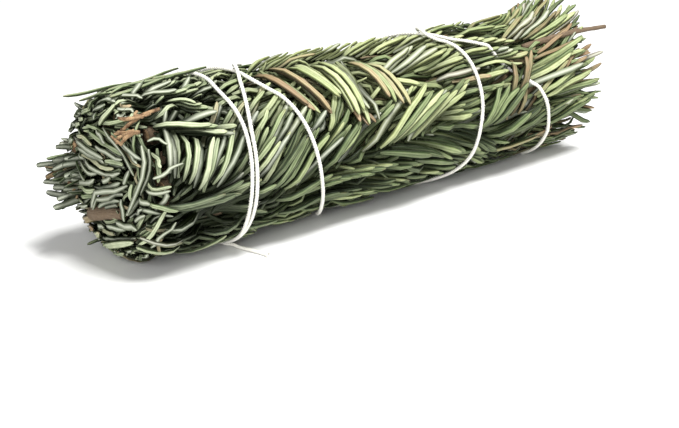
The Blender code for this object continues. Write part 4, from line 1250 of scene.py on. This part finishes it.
def bark_material(twig):
    _, shader, out = streaked_material("twig bark", 0.7, 4.0, 5.0)
    coloured = mix(out["Streaks"], twig.bark_dark, twig.bark)
    coloured = mix(times(out["Wrinkles"], 0.6), coloured, twig.bark_dark)
    finish(shader, coloured, 0.85, plus(out["Streaks"], out["Wrinkles"]), 0.9, 0.0003)


def cut_wood_material(twig):
    _, shader, out = streaked_material("cut wood", 3.0, 3.0, 4.0)
    coloured = mix(times(less(out["Mottle"], 0.38), 3.4, True), twig.wood, twig.wood_dark)
    coloured = mix(times(out["Streaks"], 0.5), coloured, twig.wood_dark)
    finish(shader, coloured, 0.9, out["Wrinkles"], 1.0, 0.0004)


def cotton_material(cotton):
    _, shader, out = streaked_material("cotton string", 1.2, 5.0, 4.0)
    finish(shader, mix(out["Streaks"], cotton.shade, cotton.colour), 0.9, out["Streaks"], 0.5, 0.0001)
    shader["Sheen Weight"].default_value = 0.25


def floor_material(stage):
    tree, shader = new_material("pale floor")
    texture = tree.nodes.new("ShaderNodeTexNoise")
    feed(texture.inputs["Scale"], 40.0)
    feed(shader["Base Color"], mix(texture.outputs["Fac"], stage.floor, [0.985 * c for c in stage.floor]))
    feed(shader["Roughness"], 0.7)


def material_for(name, make, settings):
    """A material by its name, made the first time that it is asked for."""
    if name not in bpy.data.materials:
        make(settings)
    return bpy.data.materials[name]


def colour_property(name, description, default):
    return FloatVectorProperty(name=name, description=description, subtype="COLOR", size=3,
                               min=0.0, max=1.0, default=default)


class LeafSettings(bpy.types.PropertyGroup):
    """The leaves' size and colours."""
    length: FloatProperty(name="Length", description="Usual length of a leaf, in millimetres",
                          default=USUAL_LENGTH, min=8.0, max=22.0)
    width: FloatProperty(name="Width", description="Usual width of a leaf, in millimetres",
                         default=USUAL_WIDTH, min=0.8, max=3.0)
    # The darkest leaves; rows on the underside, painted darker as shade, go towards this colour too
    deep: colour_property("Deep green", "The darkest fresh leaves", (0.017, 0.040, 0.007))
    green: colour_property("Green", "Most of the fresh leaves", (0.095, 0.165, 0.036))
    pale: colour_property("Light green", "The lightest fresh leaves", (0.405, 0.450, 0.162))
    worn: colour_property("Grey green", "The lightest leaves at the cut end", (0.170, 0.215, 0.085))
    # The colour of the painted highlight along a fresh leaf's crests
    crest_highlight: colour_property("Crest", "The waxy ridges on a leaf", (0.610, 0.660, 0.385))
    # The colour of the painted highlight along the crests at the cut end
    worn_crest_highlight: colour_property("Grey crest", "The ridges at the cut end", (0.590, 0.640, 0.430))
    # Painted shade on the rolled edges and on leaves deep in the bundle
    shadow: colour_property("Shadow", "Rolled edges, and leaves deep in the bundle", (0.006, 0.010, 0.002))
    brown: colour_property("Dry brown", "Leaves that have dried out", (0.190, 0.120, 0.062))
    # The colour of the painted highlight on dried leaves
    straw_highlight: colour_property("Straw", "The ridges of dried leaves", (0.560, 0.440, 0.270))
    felt: colour_property("Underside", "The felt under a leaf", (0.560, 0.580, 0.480))


class TwigSettings(bpy.types.PropertyGroup):
    """The twigs' colours."""
    bark: colour_property("Bark", "Light parts of the bark", (0.270, 0.195, 0.120))
    bark_dark: colour_property("Dark bark", "Dark parts of the bark", (0.080, 0.050, 0.028))
    wood: colour_property("Cut wood", "A cut stem end", (0.520, 0.345, 0.180))
    wood_dark: colour_property("Dark cut wood", "The grain in a cut stem end", (0.110, 0.052, 0.024))


class StringSettings(bpy.types.PropertyGroup):
    """The cotton string's make and colour."""
    plies: IntProperty(name="Plies", description="Threads twisted into the string", default=3, min=2,
                       max=4)
    lay: FloatProperty(name="Lay", description="Length of one twist, in millimetres", default=2.0,
                       min=0.8, max=6.0)
    fuzz: FloatProperty(name="Fuzz", description="Loose fibres in each millimetre", default=1.0,
                        min=0.0, max=3.0)
    colour: colour_property("Cotton", "The thread's lit side", (0.810, 0.800, 0.750))
    shade: colour_property("Cotton shade", "Between the fibres", (0.700, 0.680, 0.600))


class StageSettings(bpy.types.PropertyGroup):
    """Floor and lights."""
    floor: colour_property("Floor", "Colour of the plain floor", (0.800, 0.800, 0.790))
    key: FloatProperty(name="Key light", description="Power of the light from above", default=7.4,
                       min=0.0, unit="POWER")
    fill: FloatProperty(name="Fill light", description="Power of the light from the left", default=4.4,
                        min=0.0, unit="POWER")
    sky: FloatProperty(name="Sky", description="Strength of the even light all round", default=0.26,
                       min=0.0)


def dress(scene, node, sprig):
    """Builds a sprig's mesh and puts it in the place of its solid."""
    materials = [material_for("rosemary leaf", leaf_material, scene.smudge_leaf),
                 material_for("twig bark", bark_material, scene.smudge_twig),
                 material_for("cut wood", cut_wood_material, scene.smudge_twig)]
    hand_over(sprig.build("leafy_" + node, materials), node)


class SMUDGE_OT_outer_sprigs(bpy.types.Operator):
    """Grow the seven sprigs that show all round the bundle"""
    bl_idname = "smudge.outer_sprigs"
    bl_label = "Outer sprigs"

    def execute(self, context):
        for number, sprig in grow_outer(context.scene.smudge_leaf).items():
            dress(context.scene, f"outer_sprig_{number}", sprig)
        return {"FINISHED"}


class SMUDGE_OT_under_sprigs(bpy.types.Operator):
    """Grow the seven sprigs that show through the gaps between the outer ones"""
    bl_idname = "smudge.under_sprigs"
    bl_label = "Under sprigs"

    def execute(self, context):
        for number, sprig in grow_under(context.scene.smudge_leaf).items():
            dress(context.scene, f"under_sprig_{number}", sprig)
        return {"FINISHED"}


class SMUDGE_OT_inner_sprigs(bpy.types.Operator):
    """Grow the six inner sprigs and the one on the axis"""
    bl_idname = "smudge.inner_sprigs"
    bl_label = "Inner sprigs"

    def execute(self, context):
        for number, sprig in grow_inner(context.scene.smudge_leaf).items():
            dress(context.scene, f"inner_sprig_{number}", sprig)
        dress(context.scene, "heart_sprig", grow_heart(context.scene.smudge_leaf))
        return {"FINISHED"}


class SMUDGE_OT_curled_sprig(bpy.types.Operator):
    """Coil the sprig that is folded over the cut end"""
    bl_idname = "smudge.curled_sprig"
    bl_label = "Curled sprig"

    def execute(self, context):
        dress(context.scene, "curled_sprig", grow_curled(context.scene.smudge_leaf))
        return {"FINISHED"}


class SMUDGE_OT_cotton_string(bpy.types.Operator):
    """Wind the cotton string round the bundle and knot it"""
    bl_idname = "smudge.cotton_string"
    bl_label = "Cotton string"

    def execute(self, context):
        settings = context.scene.smudge_string
        piece = wind_string(settings, material_for("cotton string", cotton_material, settings))
        hand_over(piece, "cotton_string")
        return {"FINISHED"}


class SMUDGE_OT_stage(bpy.types.Operator):
    """Lay the floor, hang the lights and set up the camera"""
    bl_idname = "smudge.stage"
    bl_label = "Stage"

    FLOOR_HALF = 3.0
    AZIMUTH = -39.2
    ELEVATION = 17.0
    DISTANCE = 363.0
    FOCAL_PIXELS = 1600.0
    AIM_ROW = 125.0         # the row of pixels on which the stick's middle lies
    PHOTO = (679, 428)
    SENSOR = 36.0

    def execute(self, context):
        settings = context.scene.smudge_stage
        self.floor(context.scene, settings)
        self.camera(context.scene)
        self.lights(context.scene, settings)
        return {"FINISHED"}

    def floor(self, scene, settings):
        mesh = bpy.data.meshes.new("floor")
        corners = [(x * self.FLOOR_HALF, y * self.FLOOR_HALF, 0.0)
                   for x, y in ((-1, -1), (1, -1), (1, 1), (-1, 1))]
        mesh.from_pydata(corners, [], [(0, 1, 2, 3)])
        mesh.materials.append(material_for("pale floor", floor_material, settings))
        floor = bpy.data.objects.new("floor", mesh)
        scene.collection.objects.link(floor)

    def camera(self, scene):
        """At the photograph's angle. The view is turned, and not shifted, towards its centre."""
        azimuth, elevation = math.radians(self.AZIMUTH), math.radians(self.ELEVATION)
        back = Vector((math.sin(azimuth) * math.cos(elevation),
                       -math.cos(azimuth) * math.cos(elevation), math.sin(elevation)))
        right = back.cross(Vector((0.0, 0.0, -1.0))).normalized()
        up = back.cross(right)
        tilt = Matrix.Rotation(math.atan(-RADIUS_TAPER), 3, "Y")
        place_at = tilt @ (back * self.DISTANCE) + Vector((0.0, 0.0, axis_height(0.0)))
        below = math.atan((0.5 * self.PHOTO[1] - self.AIM_ROW) / self.FOCAL_PIXELS)
        spin = Matrix((right, up, back)).transposed() @ Matrix.Rotation(-below, 3, "X")
        data = bpy.data.cameras.new("camera")
        data.sensor_width = self.SENSOR
        data.lens = self.FOCAL_PIXELS * self.SENSOR / self.PHOTO[0]
        data.clip_start, data.clip_end = 0.01, 10.0
        camera = bpy.data.objects.new("camera", data)
        camera.matrix_world = Matrix.Translation(place_at * MM) @ (tilt @ spin).to_4x4()
        scene.collection.objects.link(camera)
        scene.camera = camera

    def lights(self, scene, settings):
        for name, power, size, spot, aim in (
                ("key", settings.key, 0.22, (0.06, -0.20, 0.62), (0.0, 0.0, 0.0)),
                ("fill", settings.fill, 0.50, (-0.55, -0.45, 0.30), (0.0, 0.0, 0.02))):
            data = bpy.data.lights.new(name, "AREA")
            data.energy, data.size = power, size
            lamp = bpy.data.objects.new(name, data)
            lamp.location = spot
            lamp.rotation_euler = (Vector(aim) - Vector(spot)).to_track_quat("-Z", "Y").to_euler()
            scene.collection.objects.link(lamp)
        world = bpy.data.worlds.new("sky")
        world.use_nodes = True
        background = world.node_tree.nodes["Background"]
        background.inputs["Color"].default_value = (1.0, 1.0, 1.0, 1.0)
        background.inputs["Strength"].default_value = settings.sky
        scene.world = world
        scene.view_settings.view_transform = "Standard"


class SMUDGE_PT_panel(bpy.types.Panel):
    """The steps that dress the smudge stick, in order"""
    bl_idname = "SMUDGE_PT_panel"
    bl_label = "Smudge stick"
    bl_space_type = "VIEW_3D"
    bl_region_type = "UI"
    bl_category = "Smudge stick"

    def draw(self, context):
        for name, group in SETTINGS:
            box = self.layout.box()
            for key in group.__annotations__:
                box.prop(getattr(context.scene, name), key)
        for operator in OPERATORS:
            self.layout.operator(operator.bl_idname)


SETTINGS = (("smudge_leaf", LeafSettings), ("smudge_twig", TwigSettings),
            ("smudge_string", StringSettings), ("smudge_stage", StageSettings))
OPERATORS = (SMUDGE_OT_stage, SMUDGE_OT_outer_sprigs, SMUDGE_OT_under_sprigs, SMUDGE_OT_inner_sprigs,
             SMUDGE_OT_curled_sprig, SMUDGE_OT_cotton_string)


def register():
    for name, settings in SETTINGS:
        bpy.utils.register_class(settings)
        setattr(bpy.types.Scene, name, PointerProperty(type=settings))
    for operator in OPERATORS:
        bpy.utils.register_class(operator)
    bpy.utils.register_class(SMUDGE_PT_panel)


def unregister():
    bpy.utils.unregister_class(SMUDGE_PT_panel)
    for operator in reversed(OPERATORS):
        bpy.utils.unregister_class(operator)
    for name, settings in reversed(SETTINGS):
        delattr(bpy.types.Scene, name)
        bpy.utils.unregister_class(settings)


def main():
    register()
    bpy.ops.smudge.stage()
    bpy.ops.smudge.outer_sprigs()
    bpy.ops.smudge.under_sprigs()
    bpy.ops.smudge.inner_sprigs()
    bpy.ops.smudge.curled_sprig()
    bpy.ops.smudge.cotton_string()
    bpy.context.view_layer.update()


if __name__ == "__main__":
    main()
